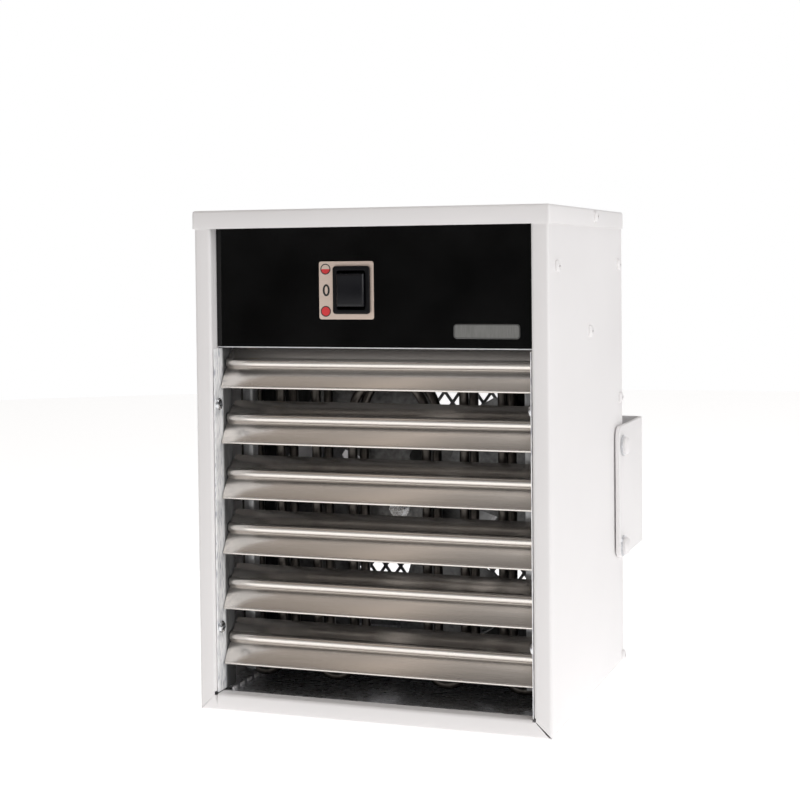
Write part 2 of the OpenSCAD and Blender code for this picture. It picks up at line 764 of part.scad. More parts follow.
module element_ferrules() color("goldenrod") from_front() at_element_ends() difference() {
    union() {
        translate([0, 0, partition_z - ferrule_below]) cylinder(h = ferrule_l, d = ferrule_d);
        translate([0, 0, partition_z + sheet]) cylinder(h = 2.5, d = ferrule_d + 5, $fn = 6);
    }
    translate([0, 0, partition_z - 6]) cylinder(h = 16, r = tube_r + hole_gap);
}

module element_insulators() color("white") from_front() at_element_ends()
    translate([0, 0, tube_top]) difference() {
        cylinder(h = insulator_h, d = tube_d - 0.6);
        translate([0, 0, -1]) cylinder(h = insulator_h + 2, r = 1.25 + hole_gap);
    }

module element_terminals() color("silver") from_front() at_element_ends() {
    translate([0, 0, tube_top]) cylinder(h = insulator_h + 3, r = 1.25);
    translate([-2.4, -0.4, tube_top + insulator_h + 1]) cube([4.8, 0.8, 9]);
}

module fan_shroud() color("lightgray") from_front() difference() {
    union() {
        translate([-shroud_half, shroud_y, floor_z + fit_gap])
            cube([2 * shroud_half, sheet, partition_z - floor_z - 2 * fit_gap]);
        both_sides() translate([-shroud_half, shroud_y, floor_z + fit_gap])
            cube([sheet, 9, partition_z - floor_z - 2 * fit_gap]);
        translate([0, 0, fan_z])
            rod_y(shroud_y - shroud_collar, shroud_y + eps, shroud_hole_r + sheet);
    }
    translate([0, 0, fan_z]) rod_y(shroud_y - 2 * shroud_collar, shroud_y + shroud_collar, shroud_hole_r);
    both_sides() translate([mount_screw_x, 0, fan_z])
        rod_y(shroud_y - 3, shroud_y + 5, screw_d / 2 + hole_gap);
}

// A fan blade's outline: a narrow stem that widens into a paddle
module fan_blade_shape() polygon([[-fan_stem_w / 2, 0], [fan_stem_w / 2, 0],
    [fan_stem_w / 2, fan_stem_r], [0.46 * fan_chord, fan_full_r], [fan_chord / 2, fan_d / 2],
    [-fan_chord / 2, fan_d / 2], [-0.46 * fan_chord, fan_full_r], [-fan_stem_w / 2, fan_stem_r]]);

// Pitched blades trimmed to the fan's circle and to the hub
module fan_rotor() color("silver") from_front() translate([0, 0, fan_z]) {
    difference() {
        rod_y(hub_front, hub_back, hub_d / 2);
        rod_y(hub_front - 1, hub_back + 1, shaft_d / 2 + hole_gap / 2);
    }
    for (i = [0 : fan_blades - 1]) rotate([0, 360 / fan_blades * i + fan_rest, 0]) intersection() {
        translate([0, blade_mid_y, 0]) rotate([0, 0, fan_pitch])
            translate([0, fan_blade_t / 2, 0]) rotate([90, 0, 0])
                linear_extrude(fan_blade_t) fan_blade_shape();
        difference() {
            rod_y(hub_front - fan_chord, hub_back + fan_chord, fan_d / 2);
            rod_y(hub_front - 2 * fan_chord, hub_back + 2 * fan_chord, hub_d / 2 - 0.5);
        }
    }
}

module motor_shaft() color("silver") from_front() translate([0, 0, fan_z])
    rod_y(hub_front - nut_l - 1, motor_y + shaft_in_motor, shaft_d / 2);

module shaft_nut() color("silver") from_front() translate([0, 0, fan_z]) difference() {
    union() {
        rod_y(hub_front - 3, hub_front, 7);
        translate([0, hub_front - nut_l, 0]) rotate([-90, 0, 0])
            cylinder(h = nut_l - 3 + eps, d = 11, $fn = 6);
    }
    rod_y(hub_front - 20, hub_front + 1, shaft_d / 2 + hole_gap / 2);
}

module fan_motor() color("gray") from_front() translate([0, 0, fan_z]) difference() {
    union() {
        rod_y(motor_y, motor_back, motor_d / 2);
        rod_y(motor_y - 4, motor_y + eps, 11);
    }
    rod_y(motor_y - 5, motor_y + shaft_in_motor + 1, shaft_d / 2 + pin_clearance);
    for (s = [-1, 1]) translate([s * motor_screw_x, 0, 0])
        rod_y(motor_back + mount_t - motor_screw_l - 1, motor_back + 1, screw_d / 2 + hole_gap);
}

module motor_mount() color("lightgray") from_front() translate([0, 0, fan_z]) difference() {
    union() {
        translate([-mount_x, motor_back, -mount_half_h])
            cube([2 * mount_x, mount_t, 2 * mount_half_h]);
        both_sides() {
            translate([-mount_x, shroud_y + sheet, -mount_half_h])
                cube([mount_t, motor_back + mount_t - shroud_y - sheet, 2 * mount_half_h]);
            translate([-mount_x - mount_foot, shroud_y + sheet, -mount_half_h])
                cube([mount_foot + eps, mount_t, 2 * mount_half_h]);
        }
    }
    for (s = [-1, 1]) translate([s * motor_screw_x, 0, 0])
        rod_y(motor_back - 1, motor_back + mount_t + 1, screw_d / 2 + hole_gap);
    both_sides() translate([mount_screw_x, 0, 0])
        rod_y(shroud_y, shroud_y + sheet + mount_t + 1, screw_d / 2 + hole_gap);
}

module motor_screws() color("silver") from_front() for (s = [-1, 1])
    translate([s * motor_screw_x, motor_back + mount_t, fan_z])
        rotate([-90, 0, 0]) pan_screw(screw_head_d, screw_head_h, screw_d, motor_screw_l);

module mount_screws() color("silver") from_front() both_sides()
    translate([mount_screw_x, shroud_y, fan_z])
        rotate([90, 0, 0]) pan_screw(mount_head_d, 2, screw_d, mount_screw_l, false);

module thermal_cutout() color("tan") from_front()
    translate([-cutout_x, cutout_y, partition_z + sheet]) {
        cylinder(h = cutout_d / 2, d = cutout_d);
        for (s = [-1, 1]) translate([s * cutout_d / 4 - 0.4, -2.4, cutout_d / 2 - eps])
            cube([0.8, 4.8, 7]);
    }

// Repeats its children at the four clamps, on the partition at the middle of the block
module at_clamps() for (i = [0 : 3])
    translate([block_x + block_w / 2 + (i - 1.5) * block_pitch, block_y + block_d / 2,
        partition_z + sheet]) children();

module terminal_block() color("ivory") from_front() difference() {
    translate([block_x, block_y, partition_z + sheet]) cube([block_w, block_d, block_h]);
    at_clamps() {
        translate([0, 0, clamp_z]) rod_y(-block_d, block_d, clamp_d / 2);
        translate([0, 0, clamp_z]) cylinder(h = block_h, r = clamp_screw_r + hole_gap);
    }
}

module terminal_screws() color("silver") from_front() at_clamps()
    translate([0, 0, clamp_z + clamp_d / 2 + 1.5]) cylinder(h = 4, r = clamp_screw_r);

// The gland clamps the rear cover between its flange outside and its locknut inside
module gland_body() color("dimgray") from_front() translate([gland_x, 0, gland_z]) difference() {
    union() {
        rod_y(body_back - 10, body_back + gland_flange_t + 9, gland_d / 2);
        translate([0, body_back, 0]) rotate([-90, 0, 0])
            cylinder(h = gland_flange_t, d = gland_d + 6, $fn = 6);
    }
    rod_y(body_back - 12, body_back + 30, cable_d / 2);
}

module gland_nut() color("dimgray") from_front() translate([gland_x, 0, gland_z]) difference() {
    start = body_back + gland_flange_t + fit_gap;
    rod_y(start, start + gland_nut_l, gland_d / 2 + 2.5);
    rod_y(start - 1, start + 9.5, gland_d / 2 + hole_gap);
    rod_y(start, start + gland_nut_l + 1, cable_d / 2);
}

module gland_locknut() color("dimgray") from_front() translate([gland_x, 0, gland_z])
    difference() {
        translate([0, body_back - sheet - 5, 0]) rotate([-90, 0, 0])
            cylinder(h = 5, d = gland_d + 6, $fn = 6);
        rod_y(body_back - 12, body_back, gland_d / 2 + hole_gap);
    }

// The bracket's plan: two arms and the wall plate, with rounded outer and inner bends
module bracket_plan(outer_x, back_y, r) {
    front = bolt_y - arm_lead;
    translate([-outer_x, front]) square([2 * outer_x, back_y - r - front]);
    translate([-outer_x + r, front]) square([2 * outer_x - 2 * r, back_y - front]);
    for (s = [-1, 1]) translate([s * (outer_x - r), back_y - r]) circle(r);
}

module wall_bracket() color("white") from_front() difference() {
    front = bolt_y - arm_lead;
    intersection() {
        translate([0, 0, bracket_z]) linear_extrude(bracket_h) difference() {
            bracket_plan(arm_out, overall_d, bracket_bend_r);
            translate([0, -eps]) bracket_plan(arm_x, overall_d - bracket_t,
                bracket_bend_r - bracket_t);
        }
        along_x(-case_w, case_w) union() {
            translate([front + bracket_corner_r, bracket_z])
                square([overall_d, bracket_h]);
            translate([front, bracket_z + bracket_corner_r])
                square([overall_d, bracket_h - 2 * bracket_corner_r]);
            for (z = [bracket_z + bracket_corner_r, bracket_z + bracket_h - bracket_corner_r])
                translate([front + bracket_corner_r, z]) circle(bracket_corner_r);
        }
    }
    side_hole([bolt_y, pivot_z], bolt_d + 2 * pin_clearance);
    side_hole([bolt_y, lock_z], bolt_d + 2 * hole_gap);
    for (sx = [-1, 1], sz = [-1, 1])
        translate([sx * wall_hole_dx / 2, 0, bracket_z + bracket_h / 2 + sz * wall_hole_dz / 2])
            rod_y(overall_d - 10, overall_d + 5, wall_hole_d / 2);
}

// Repeats its children at the two bolts of one height, outward along +X
module at_bolts(z) both_sides() translate([0, bolt_y, z]) children();

module ring_x(x0, x1, r_out, r_in) difference() {
    rod_x(x0, x1, r_out);
    rod_x(x0 - 1, x1 + 1, r_in);
}

module bracket_bolt(head_x, end_x) {
    translate([head_x, 0, 0]) rotate([0, 90, 0]) pan_screw(bolt_head_d, bolt_head_h, bolt_d, 1, false);
    rod_x(end_x, head_x, bolt_r);
}

module pivot_bolts() color("white") from_front() at_bolts(pivot_z)
    bracket_bolt(arm_out + face_gap + washer_t, inner_half - 9);

module pivot_washers() color("silver") from_front() at_bolts(pivot_z)
    ring_x(arm_out + face_gap, arm_out + face_gap + washer_t, washer_d / 2, bolt_r + hole_gap);

module pivot_spacers() color("silver") from_front() at_bolts(pivot_z)
    ring_x(half_w, arm_x - face_gap, spacer_d / 2, bolt_r + hole_gap);

// Threaded inserts riveted into the casing walls
module pivot_inserts() color("goldenrod") from_front() at_bolts(pivot_z) {
    ring_x(inner_half - 10, inner_half, bolt_r + 3.5, bolt_r + hole_gap / 2);
    ring_x(inner_half, half_w, bolt_r + 2.4, bolt_r + hole_gap / 2);
}

module lock_bolts() color("white") from_front() at_bolts(lock_z)
    bracket_bolt(arm_out + washer_t, inner_half - nut_t - 2);

module lock_washers() color("silver") from_front() at_bolts(lock_z)
    ring_x(arm_out, arm_out + washer_t, washer_d / 2, bolt_r + hole_gap);

module lock_spacers() color("silver") from_front() at_bolts(lock_z)
    ring_x(half_w + face_gap, arm_x, spacer_d / 2, bolt_r + hole_gap);

module lock_nuts() color("silver") from_front() at_bolts(lock_z) difference() {
    translate([inner_half - 3 * face_gap - nut_t, 0, 0]) rotate([0, 90, 0])
        cylinder(h = nut_t, d = bolt_d * 1.9, $fn = 6);
    rod_x(0, case_w, bolt_r + hole_gap / 2);
}

casing_wrap();
top_cover();
rear_cover();
rear_guard();
rear_mesh();
control_panel();
fascia();
switch_plate();
name_plate();
switch_housing();
switch_tabs();
rocker();
cheek_left();
cheek_right();
louvre_1();
louvre_2();
louvre_3();
louvre_4();
louvre_5();
louvre_6();
louvre_bushes();
louvre_pins();
cheek_screws();
side_screws();
cover_screws();
partition_plate();
wire_bush();
floor_plate();
support_left();
support_right();
element_front();
element_rear();
element_ferrules();
element_insulators();
element_terminals();
fan_shroud();
fan_rotor();
motor_shaft();
shaft_nut();
fan_motor();
motor_mount();
motor_screws();
mount_screws();
thermal_cutout();
terminal_block();
terminal_screws();
gland_body();
gland_nut();
gland_locknut();
wall_bracket();
pivot_bolts();
pivot_washers();
pivot_spacers();
pivot_inserts();
lock_bolts();
lock_washers();
lock_spacers();
lock_nuts();
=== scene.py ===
# %% [markdown]
# # A wall mounted fan heater
# The heater is a folded sheet box with six turning blades in front of two heating elements.
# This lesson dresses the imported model: it keeps every piece where the model has it, and gives
# each one the edges, folds and finish that it has on the real heater.
# The heater's sizes are millimetres from the middle of the casing (x), from the front of the
# cover (y) and from the base (z). The helper `at` turns them into the model's metres.

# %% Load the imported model
import bmesh
import bpy
import json
from math import cos, pi, radians, sin, tan
from mathutils import Matrix, Vector


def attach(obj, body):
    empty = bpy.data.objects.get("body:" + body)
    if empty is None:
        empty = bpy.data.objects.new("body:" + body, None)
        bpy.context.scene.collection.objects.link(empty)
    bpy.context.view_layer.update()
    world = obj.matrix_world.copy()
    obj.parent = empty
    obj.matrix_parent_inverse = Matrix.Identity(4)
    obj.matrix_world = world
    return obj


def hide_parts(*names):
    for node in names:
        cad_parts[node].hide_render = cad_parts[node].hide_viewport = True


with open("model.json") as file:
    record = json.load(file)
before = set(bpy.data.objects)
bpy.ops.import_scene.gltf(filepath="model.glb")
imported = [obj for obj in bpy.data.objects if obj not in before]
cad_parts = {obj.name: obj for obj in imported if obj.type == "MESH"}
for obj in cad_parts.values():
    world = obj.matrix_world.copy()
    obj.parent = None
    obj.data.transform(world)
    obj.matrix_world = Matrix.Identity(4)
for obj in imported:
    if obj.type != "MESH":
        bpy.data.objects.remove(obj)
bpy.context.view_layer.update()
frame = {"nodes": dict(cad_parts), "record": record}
nodes = frame["nodes"]
scene = bpy.context.scene
half_depth = 139  # half of the whole depth, bracket included


def at(x, y, z):
    """A point of the heater in millimetres, as a point of the model in metres."""
    return Vector((x, y - half_depth, z)) / 1000


# %% [markdown]
# ## The camera
# The photograph was taken from the right of the heater, a little under the top edge. The
# upright edges stay upright in it, so the camera hardly tilts and its lens is shifted instead.
# The place, the three angles, the focal length and the shift come from fitting a pinhole
# camera to the corners of the casing.

# %% Camera at the photograph's viewpoint
camera_place = at(365.9, -971.9, 295.1)
yaw, pitch, roll = radians(19.398), radians(1.784), radians(0.562)
focal_px, picture_px, shift_px = 1639.7, 800, 86.7
sensor_mm = 36

forward = Vector((-sin(yaw) * cos(pitch), cos(yaw) * cos(pitch), -sin(pitch)))
level_right = Vector((cos(yaw), sin(yaw), 0))
level_down = forward.cross(level_right)
right = cos(roll) * level_right + sin(roll) * level_down
down = -sin(roll) * level_right + cos(roll) * level_down

lens = bpy.data.cameras.new("photo_camera")
lens.sensor_width = sensor_mm
lens.lens = sensor_mm * focal_px / picture_px
lens.shift_y = -shift_px / picture_px
lens.clip_start, lens.clip_end = 0.05, 60
camera = bpy.data.objects.new("photo_camera", lens)
camera.matrix_world = Matrix.Translation(camera_place) @ Matrix(
    (right, -down, -forward)).transposed().to_4x4()
scene.collection.objects.link(camera)
scene.camera = camera
print("lens", round(lens.lens, 1), "mm")

# %% [markdown]
# ## Node helpers
# The sky and every finish are built of shader nodes. Two helpers keep that short: `feed` gives
# an input its value, and `ranged` brings a value from one range to another.


# %% Node helpers
def feed(tree, socket, value):
    """Gives an input a fixed value, or links another node's output to it."""
    if isinstance(value, bpy.types.NodeSocket):
        tree.links.new(value, socket)
    else:
        socket.default_value = value


def ranged(tree, value, low, high, start=0.0, end=1.0, way="LINEAR"):
    """A value brought from the range low to high to the range start to end."""
    node = tree.nodes.new("ShaderNodeMapRange")
    node.interpolation_type = way
    for label, number in (("Value", value), ("From Min", low), ("From Max", high),
                          ("To Min", start), ("To Max", end)):
        feed(tree, node.inputs[label], number)
    return node.outputs[0]


# %% [markdown]
# ## Light and floor
# White paint and bright metal show what stands round them, so the room matters as much as the
# lamps. A pale sky dome lights everything. It is brightest to the right, behind and above, and
# nearly black to the front left. Three softer things are added to it: a white wall low in
# front, which puts the bright line on every round bead, a warm patch overhead at the front
# left, where the blades look, and a slanting streak across that patch. The camera sees plain
# white round the heater.

# %% Sky helpers
scene.view_settings.view_transform = "Standard"
world = bpy.data.worlds.new("studio")
world.use_nodes = True
scene.world = world
sky = world.node_tree
sky.nodes.clear()
ways = sky.nodes.new("ShaderNodeTexCoord")


def sky_dot(way):
    """How far each direction of the sky points one way."""
    node = sky.nodes.new("ShaderNodeVectorMath")
    node.operation = "DOT_PRODUCT"
    feed(sky, node.inputs[0], ways.outputs["Generated"])
    feed(sky, node.inputs[1], way)
    return node.outputs["Value"]


def sky_math(operation, a, b=0.0):
    """Two values worked into one, each a number or a node's output."""
    node = sky.nodes.new("ShaderNodeMath")
    node.operation = operation
    feed(sky, node.inputs[0], a)
    feed(sky, node.inputs[1], b)
    return node.outputs[0]


def soft_step(value, low, high, end=1.0):
    """A smooth rise from nothing at low to the end value at high."""
    return ranged(sky, value, low, high, 0.0, end, "SMOOTHSTEP")


def sky_glow(colour, strength):
    """Light of one colour, with one strength or one for each direction of the sky."""
    node = sky.nodes.new("ShaderNodeBackground")
    feed(sky, node.inputs["Color"], (*colour, 1))
    feed(sky, node.inputs["Strength"], strength)
    return node.outputs[0]


def sky_join(kind, *parts):
    """Two glows added or mixed."""
    node = sky.nodes.new(kind)
    for socket, part in zip(node.inputs, parts):
        feed(sky, socket, part)
    return node.outputs[0]


# %% Sky
dome_way, dome_power, dome_strength, dome_least = (0.6, 1.0, 0.9), 1.7, 0.42, 0.018
wall_way, wall_strength = (-0.2, -1.0, 0.0), 0.60
patch_way, patch_dim, patch_bright = Vector((-0.36, -0.36, 0.86)).normalized(), 0.09, 0.26
streak_way, streak_half, streak_strength = (-0.938, 0.311, -0.153), 0.08, 0.45

dome = sky_math("POWER", ranged(sky, sky_dot(dome_way), -0.95, 1.1), dome_power)
dome = sky_math("ADD", sky_math("MULTIPLY", dome, dome_strength), dome_least)
height = sky_dot((0.0, 0.0, 1.0))
wall = sky_math("MULTIPLY", soft_step(sky_dot(wall_way), 0.35, 0.85),
                soft_step(height, 0.42, 0.24))
wall = sky_math("MULTIPLY", wall, soft_step(height, 0.02, 0.07, wall_strength))
sky_clouds = sky.nodes.new("ShaderNodeTexNoise")
feed(sky, sky_clouds.inputs["Vector"], ways.outputs["Generated"])
feed(sky, sky_clouds.inputs["Scale"], 3.2)
feed(sky, sky_clouds.inputs["Detail"], 1)
streak = soft_step(sky_math("ABSOLUTE", sky_dot(streak_way)), streak_half, 0.0, streak_strength)
patch = ranged(sky, sky_clouds.outputs["Fac"], 0.35, 0.65, patch_dim, patch_bright)
patch = sky_math("MULTIPLY", soft_step(sky_dot(patch_way), 0.60, 0.97),
                 sky_math("ADD", patch, streak))
room = sky_join("ShaderNodeAddShader", sky_glow((1, 0.99, 0.99), dome),
                sky_glow((1, 1, 1), wall))
room = sky_join("ShaderNodeAddShader", room, sky_glow((1, 0.84, 0.70), patch))
rays = sky.nodes.new("ShaderNodeLightPath")
out = sky.nodes.new("ShaderNodeOutputWorld")
feed(sky, out.inputs["Surface"], sky_join("ShaderNodeMixShader", rays.outputs["Is Camera Ray"],
                                          room, sky_glow((1, 1, 1), 1.0)))
print("sky:", len(sky.nodes), "nodes")

# %% [markdown]
# The lamps are wide and soft. Their places are metres from the model's middle on the floor.
# The one at the right shines almost along the front, so it reaches the inner faces at the left
# of the outlet, and the blades there show the bright cheek plate. The other hangs high at the
# front right and lights what faces up. The pale floor glows too, most of all just in front of
# the heater, as a lit table does. It gets that finish further on.

# %% Lamps and floor
lamp_aim = at(0, 100, 160)
floor_radius = 2.6


def as_mesh(shape, name):
    """A finished shape as a mesh. The shape itself is let go."""
    mesh = bpy.data.meshes.new(name)
    shape.to_mesh(mesh)
    shape.free()
    return mesh


def soft_lamp(name, place, width, height, power):
    """A rectangular area lamp turned towards the heater."""
    data = bpy.data.lights.new(name, "AREA")
    data.shape, data.size, data.size_y, data.energy = "RECTANGLE", width, height, power
    lamp = bpy.data.objects.new(name, data)
    lamp.location = place
    lamp.rotation_euler = (lamp_aim - Vector(place)).to_track_quat("-Z", "Y").to_euler()
    scene.collection.objects.link(lamp)


soft_lamp("lamp_right", (2.3, -0.7, 0.7), 0.9, 1.2, 13)
soft_lamp("lamp_high", (0.9, -0.75, 2.5), 1.0, 0.9, 15)

floor_shape = bmesh.new()
bmesh.ops.create_circle(floor_shape, cap_ends=True, radius=floor_radius, segments=96)
floor = bpy.data.objects.new("studio_floor", as_mesh(floor_shape, "studio_floor"))
scene.collection.objects.link(floor)

# %% [markdown]
# ## Shared finish groups
# Three effects turn up on more than one finish: the fine dimples of powder paint, the long
# streaks of rolled or extruded metal, and slow cloudy changes from handling. Each is a node
# group that puts out a mask or a height, so every material can use it with its own values.

# %% Node groups
noise_low, noise_high = 0.3, 0.7  # nearly all of Blender's noise lies between these


def new_group(name, sockets_in, socket_out):
    """An empty shader node group with named inputs and one output."""
    group = bpy.data.node_groups.new(name, "ShaderNodeTree")
    for label, kind, value in sockets_in:
        socket = group.interface.new_socket(label, in_out="INPUT", socket_type=kind)
        socket.default_value = value
    group.interface.new_socket(socket_out, in_out="OUTPUT", socket_type="NodeSocketFloat")
    return group, group.nodes.new("NodeGroupInput"), group.nodes.new("NodeGroupOutput")


def position(tree):
    """Where each point of the surface is, in metres."""
    return tree.nodes.new("ShaderNodeNewGeometry").outputs["Position"]


def noise_at(tree, place, **values):
    """Noise at a place, with its other inputs fed by name."""
    noise = tree.nodes.new("ShaderNodeTexNoise")
    feed(tree, noise.inputs["Vector"], place)
    for label, value in values.items():
        feed(tree, noise.inputs[label], value)
    return noise.outputs["Fac"]


def streak_group():
    """Long fine lines: noise on a position that is squeezed across the grain."""
    group, give, take = new_group("grain_streaks", [
        ("Squeeze", "NodeSocketVector", (4, 4, 900)), ("Contrast", "NodeSocketFloat", 1.0)],
        "Mask")
    squeeze = group.nodes.new("ShaderNodeVectorMath")
    squeeze.operation = "MULTIPLY"
    feed(group, squeeze.inputs[0], position(group))
    feed(group, squeeze.inputs[1], give.outputs["Squeeze"])
    lines = noise_at(group, squeeze.outputs[0], Detail=4.0)
    feed(group, take.inputs["Mask"],
         ranged(group, lines, noise_low, noise_high, 0.0, give.outputs["Contrast"]))
    return group


def cloud_group():
    """Slow soft patches, as handling and heat leave them."""
    group, give, take = new_group("slow_clouds", [("Scale", "NodeSocketFloat", 12.0)], "Mask")
    patches = noise_at(group, position(group), Scale=give.outputs["Scale"], Detail=3)
    feed(group, take.inputs["Mask"], ranged(group, patches, noise_low, noise_high))
    return group


def dimple_group():
    """The orange-peel dimples of powder paint, as a height."""
    group, give, take = new_group("paint_dimples", [("Scale", "NodeSocketFloat", 900.0)],
                                  "Height")
    feed(group, take.inputs["Height"],
         noise_at(group, position(group), Scale=give.outputs["Scale"], Detail=2))
    return group


grain_streaks, slow_clouds, paint_dimples = streak_group(), cloud_group(), dimple_group()
print("groups:", [g.name for g in bpy.data.node_groups])

# %% [markdown]
# ## The finishes
# A finish starts as a Principled shader with its plain values on its own sockets. Masks from
# the groups then drive colour, roughness and bump, so no surface is one flat value.


# %% Finish helpers
def new_finish(name, colour, roughness, metallic=0.0, **extra):
    """A material with a Principled shader. Returns the material, its tree and the shader."""
    material = bpy.data.materials.new(name)
    material.use_nodes = True
    tree = material.node_tree
    shader = tree.nodes["Principled BSDF"]
    shader.inputs["Base Color"].default_value = (*colour, 1)
    shader.inputs["Roughness"].default_value = roughness
    shader.inputs["Metallic"].default_value = metallic
    for label, value in extra.items():
        shader.inputs[label.replace("_", " ")].default_value = value
    material.diffuse_color = (*colour, 1)
    return material, tree, shader


def group_output(tree, group, **values):
    """What a group node puts out, with its inputs set by name."""
    node = tree.nodes.new("ShaderNodeGroup")
    node.node_tree = group
    for label, value in values.items():
        node.inputs[label].default_value = value
    return node.outputs[0]


def colour_mix(tree, mask, dark, light):
    """A colour that runs from dark to light with a mask."""
    mix = tree.nodes.new("ShaderNodeMix")
    mix.data_type = "RGBA"
    feed(tree, mix.inputs["A"], (*dark, 1))
    feed(tree, mix.inputs["B"], (*light, 1))
    feed(tree, mix.inputs["Factor"], mask)
    return mix.outputs["Result"]


def vary(tree, shader, mask, dark, light, rough_low, rough_high):
    """The base colour and the roughness both follow a mask."""
    feed(tree, shader.inputs["Base Color"], colour_mix(tree, mask, dark, light))
    feed(tree, shader.inputs["Roughness"], ranged(tree, mask, 0.0, 1.0, rough_low, rough_high))


def add_bump(tree, shader, height, strength, distance):
    """Fine relief from a height, in metres of real depth."""
    bump = tree.nodes.new("ShaderNodeBump")
    feed(tree, bump.inputs["Strength"], strength)
    feed(tree, bump.inputs["Distance"], distance)
    feed(tree, bump.inputs["Height"], height)
    feed(tree, shader.inputs["Normal"], bump.outputs[0])


# %% White powder paint
def powder_paint():
    """Semi-gloss white with fine dimples and faint uneven gloss."""
    material, tree, shader = new_finish(
        "white_powder_paint", (0.83, 0.81, 0.81), 0.50, Coat_Weight=0.08, Coat_Roughness=0.3)
    vary(tree, shader, group_output(tree, slow_clouds, Scale=9.0),
         (0.815, 0.795, 0.795), (0.845, 0.825, 0.825), 0.46, 0.55)
    add_bump(tree, shader, group_output(tree, paint_dimples, Scale=700.0), 0.12, 0.0002)
    return material


# %% Bright sheet and strip metals
def streaked_metal(name, dark, light, rough_low, rough_high, squeeze, bump=0.05, metallic=1.0):
    """Bare metal with grain along the direction that is squeezed least."""
    material, tree, shader = new_finish(name, light, rough_low, metallic)
    streaks = group_output(tree, grain_streaks, Squeeze=squeeze)
    vary(tree, shader, streaks, dark, light, rough_low, rough_high)
    add_bump(tree, shader, streaks, bump, 0.0001)
    return material


def shaded_from_depth(name, dark, light, lit_to, shade_from):
    """Zinc coated sheet, bright in front, with painted shade darkening it from a depth inwards.
    """
    brightness_left = 0.14
    material, tree, shader = new_finish(name, light, 0.36, 0.12)
    streaks = group_output(tree, grain_streaks, Squeeze=(220, 220, 30), Contrast=1.9)
    feed(tree, shader.inputs["Roughness"], ranged(tree, streaks, 0.0, 1.0, 0.28, 0.46))
    add_bump(tree, shader, streaks, 0.3, 0.0001)
    # Painted shade: past the first depth the colour darkens, down to a seventh of itself past the
    # second.
    parts = tree.nodes.new("ShaderNodeSeparateXYZ")
    feed(tree, parts.inputs[0], position(tree))
    brightness = ranged(tree, parts.outputs["Y"], at(0, lit_to, 0).y, at(0, shade_from, 0).y,
                        1.0, brightness_left, "SMOOTHSTEP")
    shaded_colour = tree.nodes.new("ShaderNodeVectorMath")
    shaded_colour.operation = "SCALE"
    feed(tree, shaded_colour.inputs[0], colour_mix(tree, streaks, dark, light))
    feed(tree, shaded_colour.inputs["Scale"], brightness)
    feed(tree, shader.inputs["Base Color"], shaded_colour.outputs[0])
    return material


# %% Glossy black panel and other plastics
def moulded_plastic(name, colour, rough_low, rough_high, scale=1200.0, bump=0.08, **extra):
    """Plastic with a fine moulded skin and slow changes of gloss."""
    material, tree, shader = new_finish(name, colour, rough_low, 0.0, **extra)
    lighter = tuple(min(1.0, c * 1.15 + 0.002) for c in colour)
    vary(tree, shader, group_output(tree, slow_clouds, Scale=25.0), colour, lighter,
         rough_low, rough_high)
    add_bump(tree, shader, group_output(tree, paint_dimples, Scale=scale), bump, 0.0001)
    return material


# %% Pale floor
def pale_floor():
    """A matt floor with a glow that fades with the distance from one spot in front."""
    spot, near, far, glow_near, glow_far = (-0.25, -0.5, 0), 0.25, 1.1, 0.90, 0.64
    material, tree, shader = new_finish(
        "pale_floor", (0.80, 0.80, 0.80), 0.6, Emission_Color=(1, 1, 1, 1))
    clouds = group_output(tree, slow_clouds, Scale=2.0)
    feed(tree, shader.inputs["Roughness"], ranged(tree, clouds, 0.0, 1.0, 0.55, 0.7))
    distance = tree.nodes.new("ShaderNodeVectorMath")
    distance.operation = "DISTANCE"
    feed(tree, distance.inputs[0], position(tree))
    feed(tree, distance.inputs[1], spot)
    feed(tree, shader.inputs["Emission Strength"],
         ranged(tree, distance.outputs["Value"], near, far, glow_near, glow_far, "SMOOTHSTEP"))
    return material


# %% [markdown]
# A metal states its dark and its light colour, its lowest and highest roughness, how much the
# noise is squeezed along x, y and z, and then its bump and how metallic it is, where those
# differ from the usual. A plastic states its colour and its lowest and highest roughness.

# %% Build every finish
white_paint = powder_paint()
galvanised = streaked_metal("galvanised_sheet", (0.66, 0.67, 0.70), (0.98, 0.98, 0.98),
                            0.30, 0.50, (150, 150, 16), 0.3, 0.45)
# The cheek plates carry painted shade: bright up to 14 mm deep, darker from there to 17 mm and
# beyond.
cheek_metal = shaded_from_depth("cheek_sheet", (0.42, 0.43, 0.49), (1.0, 1.0, 1.0), 14.0, 17.0)
strip_metal = streaked_metal("bright_strip", (0.30, 0.30, 0.31), (0.46, 0.46, 0.46),
                             0.30, 0.45, (90, 90, 12), 0.1, 0.6)
# Painted shade: the inner sheets round the fan are nearly black for the shade inside the casing.
inner_shade_sheet = streaked_metal("inner_sheet_painted_shade", (0.03, 0.03, 0.03), (0.06, 0.06, 0.06),
                            0.45, 0.6, (90, 90, 20), 0.1)
dark_floor = streaked_metal("dark_floor_sheet", (0.80, 0.81, 0.84), (0.92, 0.93, 0.96),
                            0.24, 0.32, (30, 200, 30), 0.03, 0.8)
mesh_steel = streaked_metal("expanded_mesh_steel", (0.30, 0.30, 0.31), (0.48, 0.48, 0.49),
                            0.3, 0.5, (90, 90, 90))
blade_metal = streaked_metal("champagne_blade", (0.72, 0.68, 0.64), (0.80, 0.76, 0.72),
                             0.21, 0.25, (4, 800, 800), 0.01, 0.92)
zinc = streaked_metal("zinc_plated_steel", (0.55, 0.56, 0.58), (0.80, 0.81, 0.83),
                      0.18, 0.34, (120, 120, 120))
# The tubes are heat tinted brown, and darkened much further as painted shade for the dark inside.
element_metal = streaked_metal("tube_heat_tint_and_shade", (0.05, 0.045, 0.04), (0.12, 0.108, 0.098),
                               0.30, 0.45, (60, 60, 25))
